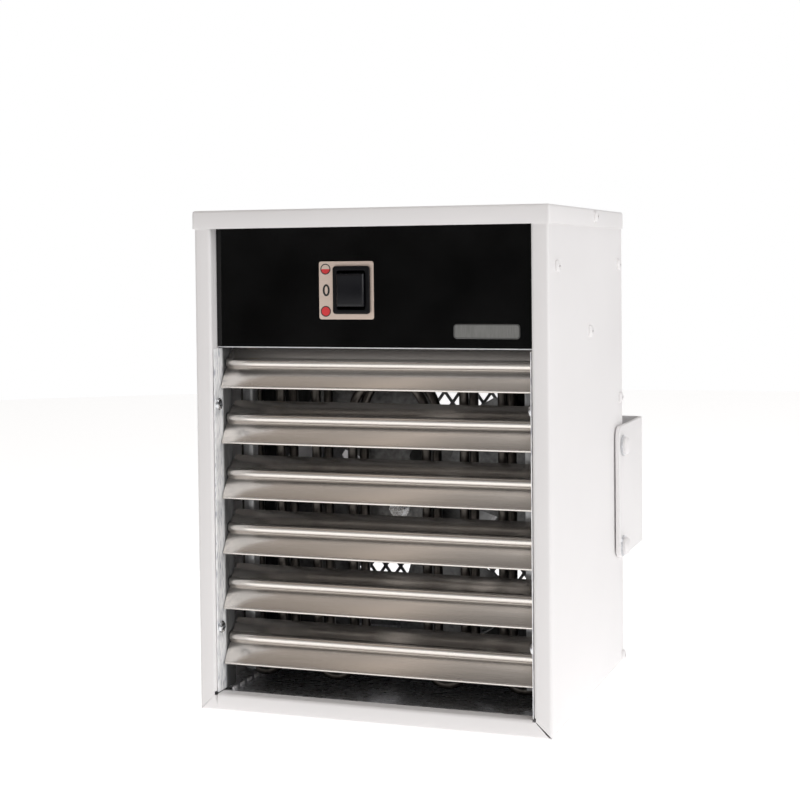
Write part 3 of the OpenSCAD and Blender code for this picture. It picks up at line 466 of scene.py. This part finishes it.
# Painted shade: the fan's aluminium is dark grey for the shade inside the casing.
fan_metal = streaked_metal("fan_metal_painted_shade", (0.10, 0.10, 0.10), (0.20, 0.20, 0.20),
                           0.32, 0.5, (60, 60, 60))
motor_metal = streaked_metal("motor_case_metal", (0.10, 0.10, 0.10), (0.18, 0.18, 0.18),
                             0.35, 0.5, (50, 50, 50))
brass = streaked_metal("brass_ferrule", (0.62, 0.46, 0.20), (0.80, 0.62, 0.32),
                       0.22, 0.4, (80, 80, 80))
plate_metal = streaked_metal("silver_plate", (0.21, 0.21, 0.20), (0.29, 0.29, 0.28),
                             0.34, 0.46, (900, 30, 30), 0.1)
sign_plate = streaked_metal("champagne_switch_plate", (0.70, 0.57, 0.49), (0.80, 0.67, 0.59),
                            0.46, 0.58, (40, 40, 900), 0.1, 0.85)
panel_black = moulded_plastic("glossy_black_panel", (0.003, 0.003, 0.003), 0.07, 0.12,
                              400.0, 0.01, Specular_IOR_Level=0.35)
switch_black = moulded_plastic("satin_black_switch", (0.004, 0.004, 0.005), 0.26, 0.36,
                               Specular_IOR_Level=0.15)
rocker_black = moulded_plastic("rocker_black", (0.004, 0.004, 0.006), 0.20, 0.30,
                               Specular_IOR_Level=0.25)
dark_plastic = moulded_plastic("dark_moulding", (0.035, 0.035, 0.035), 0.40, 0.55)
ceramic = moulded_plastic("white_ceramic", (0.78, 0.75, 0.68), 0.25, 0.4)
rubber = moulded_plastic("black_rubber", (0.02, 0.02, 0.02), 0.6, 0.8)
phenolic = moulded_plastic("brown_moulding", (0.16, 0.09, 0.05), 0.35, 0.5)
red_print = moulded_plastic("red_print", (0.62, 0.03, 0.035), 0.4, 0.5)
black_print = moulded_plastic("black_print", (0.012, 0.012, 0.012), 0.4, 0.5)
floor.data.materials.append(pale_floor())
print("finishes:", len(bpy.data.materials))

# %% [markdown]
# ## Finishes for the model's own pieces
# Most small pieces keep the model's exact solid. Their finish follows the record's slots, but
# three inner sheets have one of their own: the fan shroud and the motor mount are nearly black,
# as painted shade for the dark inside, and the partition plate takes the duller strip metal.

# %% Dress the pieces that keep their solid
by_slot = {
    "white_paint": white_paint, "galvanised": galvanised, "floor_steel": dark_floor,
    "guard_mesh": mesh_steel, "black_gloss": panel_black, "switch_print": sign_plate,
    "plate_silver": plate_metal, "black_matte": switch_black, "rocker_black": rocker_black,
    "blade_aluminium": blade_metal, "bush_plastic": dark_plastic, "zinc_steel": zinc,
    "element_sheath": element_metal, "brass": brass, "ceramic": ceramic,
    "fan_aluminium": fan_metal, "motor_case": motor_metal, "rubber": rubber,
    "phenolic": phenolic,
}
# The fan shroud and the motor mount get the nearly black sheet of painted shade.
own_finish = {"fan_shroud": inner_shade_sheet, "motor_mount": inner_shade_sheet, "partition_plate": strip_metal}
for entry in frame["record"]["subparts"]:
    solid = nodes[entry["node"]]
    for material_slot in solid.material_slots:
        material_slot.material = own_finish.get(entry["node"], by_slot[entry["material_slot"]])
print("dressed", len(nodes), "solids")

# %% [markdown]
# ## Small tools for building
# Sheet metal is drawn flat, bent along a line and given a thickness. Three helpers do that
# here: one rounds the corners of a drawn line, one gives the line the sheet's thickness, and
# one turns closed outlines into a solid with softened edges. Blender's flat curves fill
# outlines with holes, so they are used for that.


# %% Drawing helpers
def bent_line(corners, radius, steps=6):
    """The corner points of a line with every inner corner rounded."""
    points = [Vector(corners[0])]
    for a, b, c in zip(corners, corners[1:], corners[2:]):
        a, b, c = Vector(a), Vector(b), Vector(c)
        u, v = (a - b).normalized(), (c - b).normalized()
        half = u.angle(v) / 2
        centre = b + (u + v).normalized() * radius / sin(half)
        start, end = b + u * radius / tan(half) - centre, b + v * radius / tan(half) - centre
        turn = start.angle_signed(end)
        for i in range(steps + 1):
            t = -turn * i / steps
            points.append(centre + Vector((start.x * cos(t) - start.y * sin(t),
                                           start.x * sin(t) + start.y * cos(t))))
    return points + [Vector(corners[-1])]


def thickened(points, thickness):
    """A closed outline that follows a line on both sides."""
    left, right_side = [], []
    for i, p in enumerate(points):
        before = points[max(i - 1, 0)]
        after = points[min(i + 1, len(points) - 1)]
        way = (after - before).normalized()
        side = Vector((-way.y, way.x)) * thickness / 2
        left.append(p + side)
        right_side.append(p - side)
    return left + right_side[::-1]


PLANES = {  # how a flat drawing's across, up and depth lie in the heater
    "XZ": Matrix(((1, 0, 0), (0, 0, -1), (0, 1, 0))),   # depth runs along -y
    "YZ": Matrix(((0, 0, 1), (1, 0, 0), (0, 1, 0))),    # depth runs along +x
    "XY": Matrix(((1, 0, 0), (0, 1, 0), (0, 0, 1))),    # depth runs along +z
}


def curve_mesh(curve):
    """A curve as a mesh. The curve itself is let go."""
    holder = bpy.data.objects.new("drawing", curve)
    mesh = bpy.data.meshes.new_from_object(holder)
    bpy.data.objects.remove(holder)
    bpy.data.curves.remove(curve)
    return mesh


def solid_from(outlines, plane, low, high, soften=0.0):
    """A mesh from closed outlines drawn in one plane, between two depths in millimetres."""
    curve = bpy.data.curves.new("drawing", "CURVE")
    curve.dimensions, curve.fill_mode = "2D", "BOTH"
    for outline in outlines:
        spline = curve.splines.new("POLY")
        spline.points.add(len(outline) - 1)
        for point, place in zip(spline.points, outline):
            point.co = (place[0], place[1], 0, 1)
        spline.use_cyclic_u = True
    curve.extrude = (high - low) / 2 - soften
    curve.bevel_depth, curve.bevel_resolution, curve.offset = soften, 2, -soften
    mesh = curve_mesh(curve)
    middle_depth = (low + high) / 2 * (-1 if plane == "XZ" else 1)
    mesh.transform(PLANES[plane].to_4x4() @ Matrix.Translation((0, 0, middle_depth)))
    return mesh


def join_meshes(meshes):
    """Several meshes as one, with doubled points welded."""
    shape = bmesh.new()
    for mesh in meshes:
        shape.from_mesh(mesh)
        bpy.data.meshes.remove(mesh)
    bmesh.ops.remove_doubles(shape, verts=shape.verts, dist=1e-4)
    bmesh.ops.recalc_face_normals(shape, faces=shape.faces)
    return as_mesh(shape, "shape")


# %% [markdown]
# A piece has a mesh, a finish and the body that it rides on. Most pieces also stand for a node
# of the model, which they then replace.


# %% Piece helper
def make_piece(name, mesh, finish, body, stands_for=(), smooth=30):
    """Puts a mesh drawn in the heater's millimetres into the scene as a finished piece."""
    mesh.transform(Matrix.Scale(0.001, 4) @ Matrix.Translation((0, -half_depth, 0)))
    mesh.name = name
    mesh.materials.clear()
    mesh.materials.append(finish)
    mesh.shade_smooth()
    mesh.set_sharp_from_angle(angle=radians(smooth))
    piece = bpy.data.objects.new(name, mesh)
    scene.collection.objects.link(piece)
    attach(piece, body)
    if stands_for:
        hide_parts(*stands_for)
    print("made", name, len(mesh.polygons), "faces")


# %% [markdown]
# ## The casing sheet
# One sheet makes the sides, the base and the three front flanges. Each edge of it is a press
# brake bend with a small radius, and that radius is what catches the light. So the sides and
# the base are drawn as bent lines, given the sheet's thickness and drawn out. The two meet in
# a mitre at each lower front corner. Both mitres are open by a hair, more so at their outer
# ends and at the right. Each ends in a square relief notch, where both sheets stop short.

# %% Folded casing
sheet, case_half, return_x, sill = 1.0, 119.8, 108.3, 11.5
front_y, return_back, back_y, case_top = 1.2, 11.0, 216.8, 328.8
bend, notch_half = 1.0, 1.2
middle_front = front_y + sheet / 2  # the middle of the front flanges' thickness


def cut(mesh, place, way):
    """Cuts a mesh at a plane and keeps the side that the way points from."""
    shape = bmesh.new()
    shape.from_mesh(mesh)
    bmesh.ops.bisect_plane(shape, geom=shape.verts[:] + shape.edges[:] + shape.faces[:],
                           plane_co=place, plane_no=way, clear_outer=True)
    edges = [e for e in shape.edges if e.is_boundary]
    bmesh.ops.holes_fill(shape, edges=edges, sides=0)
    shape.to_mesh(mesh)
    shape.free()


def mitre(side, up, inner_gap, outer_gap):
    """The plane of one mitred edge: a point in it and the way it faces."""
    inner = Vector((side * return_x, 0, sill + up * inner_gap / 2))
    outer = Vector((side * case_half, 0, up * outer_gap / 2))
    run = outer - inner
    way = Vector((-run.z, 0, run.x)) * (side * -up)
    return outer, way.normalized()


def folded(corners, plane, low, high):
    """Sheet folded along a line of corners and drawn out from low to high."""
    line = bent_line(corners, bend + sheet / 2)
    return solid_from([thickened(line, sheet)], plane, low, high)


def casing_side(side, inner_gap, outer_gap):
    """One wall with its front flange and return, drawn in plan and cut to the mitre."""
    wall_x, inner_x = side * (case_half - sheet / 2), side * (return_x + sheet / 2)
    notch_x = side * (return_x + notch_half)
    wall_line = [(wall_x, middle_front), (wall_x, back_y)]
    upper = folded([(inner_x, return_back), (inner_x, middle_front)] + wall_line, "XY",
                   sill + notch_half, case_top)
    lower = folded([(notch_x, middle_front)] + wall_line, "XY", 0, sill + notch_half)
    cut(lower, *mitre(side, 1, inner_gap, outer_gap))
    return [upper, lower]


def casing_base(gaps):
    """The base with its front flange and return, drawn from the side and mitred at both ends."""
    base_z, inner_z, notch_z = sheet / 2, sill - sheet / 2, sill - notch_half
    base_line = [(middle_front, base_z), (back_y, base_z)]
    notch_x = return_x - notch_half
    meshes = [folded([(return_back, inner_z), (middle_front, inner_z)] + base_line, "YZ",
                     -notch_x, notch_x)]
    for side, low, high in ((-1, -case_half, -notch_x), (1, notch_x, case_half)):
        meshes.append(folded([(middle_front, notch_z)] + base_line, "YZ", low, high))
        cut(meshes[-1], *mitre(side, -1, *gaps[side]))
    return meshes


mitre_gaps = {-1: (0.05, 0.4), 1: (0.6, 2.0)}  # left and right, each at its inner and outer end
make_piece("casing_sheet", join_meshes(
    casing_side(-1, *mitre_gaps[-1]) + casing_side(1, *mitre_gaps[1]) + casing_base(mitre_gaps)),
    white_paint, "casing", ["casing_wrap"])

# %% [markdown]
# ## Sheet pieces with softened edges
# Cut sheet has no razor edges: the punch rounds one side and the paint or zinc rounds the other.
# That thin rounding is what shows as a bright line. These pieces have the right shape in the
# model already, so each is copied, its flat faces are merged, and a narrow bevel goes round it.


# %% Softened sheet pieces
def with_edges(mesh, width, segments, angle, wall=0.0):
    """A mesh thickened inwards, if a wall is asked for, with its sharp edges bevelled."""
    holder = bpy.data.objects.new("holder", mesh)
    scene.collection.objects.link(holder)
    if wall:
        thick = holder.modifiers.new("wall", "SOLIDIFY")
        thick.thickness, thick.offset = wall, -1
    edge = holder.modifiers.new("edge", "BEVEL")
    edge.width, edge.segments, edge.limit_method = width, segments, "ANGLE"
    edge.angle_limit = radians(angle)
    bpy.context.view_layer.update()
    ready = holder.evaluated_get(bpy.context.evaluated_depsgraph_get())
    made = bpy.data.meshes.new_from_object(ready)
    bpy.data.objects.remove(holder)
    return made


def softened(node, width, segments=2):
    """A copy of a model solid, in the heater's millimetres, with its edges rounded."""
    shape = bmesh.new()
    shape.from_mesh(nodes[node].data)
    bmesh.ops.remove_doubles(shape, verts=shape.verts, dist=1e-6)
    bmesh.ops.dissolve_limit(shape, angle_limit=radians(0.5), verts=shape.verts,
                             edges=shape.edges)
    bmesh.ops.scale(shape, vec=(1000, 1000, 1000), verts=shape.verts)
    bmesh.ops.translate(shape, vec=(0, half_depth, 0), verts=shape.verts)
    return with_edges(as_mesh(shape, node), width, segments, 35)


make_piece("bracket_strip", softened("wall_bracket", 0.7, 4), white_paint, "bracket",
           ["wall_bracket"], smooth=40)

# %% [markdown]
# A fine dark line parts each cheek plate from the casing's flange. To let it show, the outer
# face of each cheek stands back a little more than in the model.

# %% Cheek plates
cheek_outer, stand_back, cheek_edge = 108.1, 0.4, 0.15
for node in ("cheek_left", "cheek_right"):
    mesh = softened(node, cheek_edge)
    for vertex in mesh.vertices:
        if cheek_outer - 2 * cheek_edge < abs(vertex.co.x) < cheek_outer + 0.01:
            vertex.co.x *= 1 - stand_back / cheek_outer
    make_piece(node + "_sheet", mesh, cheek_metal, "casing", [node], smooth=40)

# %% [markdown]
# The angle strips beside the tubes and the dark inner floor need only their edges softened.

# %% Support strips and inner floor
for node in ("support_left", "support_right"):
    make_piece(node + "_strip", softened(node, 0.25), strip_metal, "casing",
               [node], smooth=40)
make_piece("inner_floor", softened("floor_plate", 0.2), dark_floor, "casing",
           ["floor_plate"], smooth=40)

# %% [markdown]
# A row of small tabs on the base comes up through the slots in the inner floor and keeps it in
# place. They are painted with the casing, so they show as white dashes on the dark floor.

# %% Floor tabs
slot_x, slot_start, slot_step, slot_length = -104.0, 17.0, 11.7, 6.5
tab_play, tab_low, tab_high, tab_corner = 0.1, 1.0, 12.3, 0.5
tabs = []
for k in range(5):
    front = slot_start + k * slot_step + tab_play
    back = front + slot_length - 2 * tab_play
    outline = [Vector(point) for point in (
        (front, tab_low), (back, tab_low), (back, tab_high - tab_corner),
        (back - tab_corner, tab_high), (front + tab_corner, tab_high),
        (front, tab_high - tab_corner))]
    tabs.append(solid_from([outline], "YZ", slot_x + tab_play, slot_x + tab_play + sheet, 0.1))
make_piece("floor_tabs", join_meshes(tabs), white_paint, "casing")

# %% [markdown]
# ## The cover
# The cover is a shallow pressed lid. Its top edges are folded to a radius of about 2 mm and
# its skirt hides the top of the casing walls. A rounded box without a floor gives that shape.

# %% Top cover
cover_half_w, cover_d, cover_top, skirt, fold_radius = 121.0, 218.0, 330.0, 12.0, 2.0


def cover_mesh():
    """An upside-down tray: a box without its bottom, rounded and then thickened inwards."""
    shape = bmesh.new()
    bmesh.ops.create_cube(shape, size=1)
    bmesh.ops.scale(shape, vec=(2 * cover_half_w, cover_d, skirt), verts=shape.verts)
    bmesh.ops.translate(shape, vec=(0, cover_d / 2, cover_top - skirt / 2), verts=shape.verts)
    upper = [e for e in shape.edges if max(v.co.z for v in e.verts) > cover_top - 1]
    bmesh.ops.bevel(shape, geom=upper, offset=fold_radius, segments=5, profile=0.5,
                    affect="EDGES")
    bottom = [f for f in shape.faces if f.calc_center_median().z < cover_top - skirt + 0.01]
    bmesh.ops.delete(shape, geom=bottom, context="FACES")
    bmesh.ops.recalc_face_normals(shape, faces=shape.faces)
    return with_edges(as_mesh(shape, "cover"), 0.25, 2, 30, wall=sheet)


make_piece("cover_pressing", cover_mesh(), white_paint, "casing",
           ["top_cover"], smooth=50)

# %% [markdown]
# ## Panel, plates and switch
# The black panel is a flat gloss sheet with an opening for the switch. The champagne plate
# sits on it and carries three plain signs: a half-filled circle, a zero and a filled circle.
# All of them are drawn from rings and rounded rectangles.


# %% Outlines
def ring(x, y, r, steps=32, squeeze=1.0):
    """A round or oval outline."""
    return [Vector((x + r * squeeze * cos(2 * pi * i / steps), y + r * sin(2 * pi * i / steps)))
            for i in range(steps)]


def soft_rectangle(x, y, w, h, r, steps=6):
    """A rectangle outline with rounded corners, centred on x, y."""
    points = []
    for k, (sx, sy) in enumerate(((1, 1), (-1, 1), (-1, -1), (1, -1))):
        for i in range(steps + 1):
            a = pi / 2 * (k + i / steps)
            points.append(Vector((x + sx * (w / 2 - r) + r * cos(a),
                                  y + sy * (h / 2 - r) + r * sin(a))))
    return points


# %% Panel and sign plate
panel_low, panel_high, panel_width = 240.7, 328.6, 216.2
panel_front, panel_back, plate_front = 10.0, 11.0, 9.4
switch_x, switch_z = -12.2, 277.6
opening = soft_rectangle(switch_x, switch_z, 22.8, 28.4, 0.5)
panel_outline = soft_rectangle(0, (panel_low + panel_high) / 2, panel_width,
                               panel_high - panel_low, 0.4)
sign_plate_outline = soft_rectangle(-16.1, 277.4, 37.5, 37.3, 1.5)
make_piece("panel_sheet", solid_from([panel_outline, opening], "XZ", panel_front, panel_back,
                                     0.15),
           panel_black, "casing", ["fascia"])
make_piece("sign_plate", solid_from([sign_plate_outline, opening], "XZ", plate_front,
                                    panel_front, 0.12),
           sign_plate, "casing", ["switch_plate"])

# %% Signs
sign_x, half_sign_z, zero_sign_z, full_sign_z = -30.3, 291.1, 277.5, 263.9
circle_r, circle_hole_r, disc_r = 3.5, 2.85, 2.95
zero_x, zero_r, zero_squeeze, zero_hole_r, zero_hole_squeeze = sign_x + 0.4, 3.9, 0.62, 2.6, 0.42


def sign(*outlines):
    """A thin print on the sign plate."""
    return solid_from(outlines, "XZ", plate_front - 0.08, plate_front + 0.02)


def half_disc(x, z, r, steps=24):
    """The lower half of a disc."""
    return [Vector((x + r * cos(pi + pi * i / steps), z + r * sin(pi + pi * i / steps)))
            for i in range(steps + 1)]


circles = [sign(ring(sign_x, z, circle_r), ring(sign_x, z, circle_hole_r))
           for z in (half_sign_z, full_sign_z)]
zero = sign(ring(zero_x, zero_sign_z, zero_r, 40, zero_squeeze),
            ring(zero_x, zero_sign_z, zero_hole_r, 40, zero_hole_squeeze))
make_piece("sign_outlines", join_meshes(circles + [zero]), black_print, "casing")
make_piece("sign_red", join_meshes([sign(half_disc(sign_x, half_sign_z, disc_r)),
                                    sign(ring(sign_x, full_sign_z, disc_r))]),
           red_print, "casing")

# %% [markdown]
# The plate at the right is left bare. It is a thin silver plate with a darker raised rim.

# %% Bare plate
plate_x, plate_z, plate_w, plate_h = 77.4, 251.4, 43.3, 9.3
bare_front, rim_front, rim_back = 9.45, 9.35, 9.5


def bare_outline(inset, radius):
    """The bare plate's outline, drawn in on every side."""
    return soft_rectangle(plate_x, plate_z, plate_w - 2 * inset, plate_h - 2 * inset, radius)


make_piece("bare_plate", solid_from([bare_outline(0, 2.2)], "XZ", bare_front, panel_front, 0.2),
           plate_metal, "casing", ["name_plate"])
make_piece("bare_plate_rim", solid_from([bare_outline(0.2, 2.0), bare_outline(0.7, 1.5)],
                                        "XZ", rim_front, rim_back, 0.03),
           dark_plastic, "casing")

# %% [markdown]
# The switch has a raised bezel with a deep well, and a rocker with bevelled edges in it.

# %% Switch bezel
bezel_front, well_end, body_end = 7.4, 24.0, 29.4
bezel = soft_rectangle(switch_x, switch_z, 25.2, 30.8, 2.0)
body = soft_rectangle(switch_x, switch_z, 22.2, 27.8, 0.4)
well = soft_rectangle(switch_x, switch_z, 19.4, 25.0, 1.2)
make_piece("switch_bezel", join_meshes([
    solid_from([bezel, well], "XZ", bezel_front, plate_front, 0.5),
    solid_from([body, well], "XZ", plate_front - 0.3, well_end),
    solid_from([body], "XZ", well_end - 1, body_end)]),
    switch_black, "casing", ["switch_housing"])

# %% Rocker
rocker_front, rocker_size, face_bevel, edge_bevel = 4.6, (18.6, 9.6, 21.2), 1.3, 0.22
rocker_middle = rocker_front + rocker_size[1] / 2
axle_y, axle_r, axle_half = 13.4, 1.2, 10.4


def rocker_mesh():
    """The rocker's block, bevelled all round its face and softened at its front edges."""
    shape = bmesh.new()
    bmesh.ops.create_cube(shape, size=1)
    bmesh.ops.scale(shape, vec=rocker_size, verts=shape.verts)
    bmesh.ops.translate(shape, vec=(switch_x, rocker_middle, switch_z), verts=shape.verts)
    face_edges = [e for e in shape.edges if all(v.co.y < rocker_front + 0.1 for v in e.verts)]
    bmesh.ops.bevel(shape, geom=face_edges, offset=face_bevel, segments=1, profile=0.5,
                    affect="EDGES")
    front_edges = [e for e in shape.edges if min(v.co.y for v in e.verts) < rocker_middle]
    bmesh.ops.bevel(shape, geom=front_edges, offset=edge_bevel, segments=2, profile=0.5,
                    affect="EDGES")
    return as_mesh(shape, "rocker_block")


axle = solid_from([ring(axle_y, switch_z, axle_r)], "YZ", switch_x - axle_half,
                  switch_x + axle_half)
make_piece("rocker_block", join_meshes([rocker_mesh(), axle]), rocker_black, "rocker",
           ["rocker"], smooth=20)

# %% [markdown]
# ## The louvre blades
# Each blade is an extrusion: a bored bead that turns on two pins, a wide lower wing that bows
# towards the front and ends in a round lip, and a thinner upper wing. The section is drawn
# once and drawn out along the blade, so all six are alike, as they are on the heater.

# %% Blades
pin_y, first_pin_z, blade_step, blade_half = 22.4, 229.2, 36.8, 106.4
bead_r, bore_r, lip_r, lip_y, lip_z = 3.3, 1.55, 0.95, -10.75, -15.4
lower_wing, lower_thick = ((-0.5, -2.5), (-10.7, -15.4), -0.9), 1.3  # start, end and bow
upper_wing, upper_thick = ((0.9, 1.9), (11.0, 10.2), 0.7), 1.2


def wing_line(start, end, bulge, steps=14):
    """A bowed line from the bead to the wing's edge."""
    start, end = Vector(start), Vector(end)
    side = Vector((-(end - start).y, (end - start).x)).normalized()
    return [start.lerp(end, i / steps) + side * 4 * bulge * (i / steps) * (1 - i / steps)
            for i in range(steps + 1)]


def blade_mesh(z):
    """One blade about its pin: two wings, the lip and the bored bead."""
    centre = Vector((pin_y, z))
    parts = [[thickened([p + centre for p in wing_line(*lower_wing)], lower_thick)],
             [thickened([p + centre for p in wing_line(*upper_wing)], upper_thick)],
             [ring(pin_y + lip_y, z + lip_z, lip_r, 20)],
             [ring(pin_y, z, bead_r), ring(pin_y, z, bore_r, 24)]]
    return join_meshes([solid_from(p, "YZ", -blade_half, blade_half, 0.15) for p in parts])


for k in range(6):
    make_piece(f"blade_{k + 1}", blade_mesh(first_pin_z - blade_step * k), blade_metal,
               f"louvre_{k + 1}", [f"louvre_{k + 1}"], smooth=40)

# %% [markdown]
# ## The heating elements
# Each element is one steel tube bent into a serpentine with a wide arch in the middle. A
# Blender curve with a round bevel follows the same path, with close points in the bends.

# %% Element tubes
tube_r, leg_pitch = 3.2, 25.9
bend_low, bend_high, arch_z, tube_top = 31.35, 218.05, 193.25, 267.0


def half_turn(x, z, r, up, steps=16):
    """Points of half a ring, from its left side to its right side."""
    return [Vector((x - r * cos(pi * i / steps), z + (r if up else -r) * sin(pi * i / steps)))
            for i in range(steps + 1)]


def element_mesh(y):
    """The whole serpentine as one tube."""
    def low_bend(legs):
        return half_turn(legs * leg_pitch, bend_low, leg_pitch / 2, False)

    def high_bend(legs):
        return half_turn(legs * leg_pitch, bend_high, leg_pitch / 2, True)

    line = [Vector((-4 * leg_pitch, tube_top))]
    line += low_bend(-3.5) + high_bend(-2.5) + low_bend(-1.5)
    line += half_turn(0, arch_z, leg_pitch, True, 28)
    line += low_bend(1.5) + high_bend(2.5) + low_bend(3.5)
    line.append(Vector((4 * leg_pitch, tube_top)))
    curve = bpy.data.curves.new("tube", "CURVE")
    curve.dimensions = "3D"
    spline = curve.splines.new("POLY")
    spline.points.add(len(line) - 1)
    for point, place in zip(spline.points, line):
        point.co = (place.x, y, place.y, 1)
    curve.bevel_depth, curve.bevel_resolution, curve.use_fill_caps = tube_r, 6, True
    return curve_mesh(curve)


for name, y in (("front", 43.5), ("rear", 65.4)):
    make_piece(f"tube_{name}", element_mesh(y), element_metal, "casing",
               [f"element_{name}"], smooth=60)
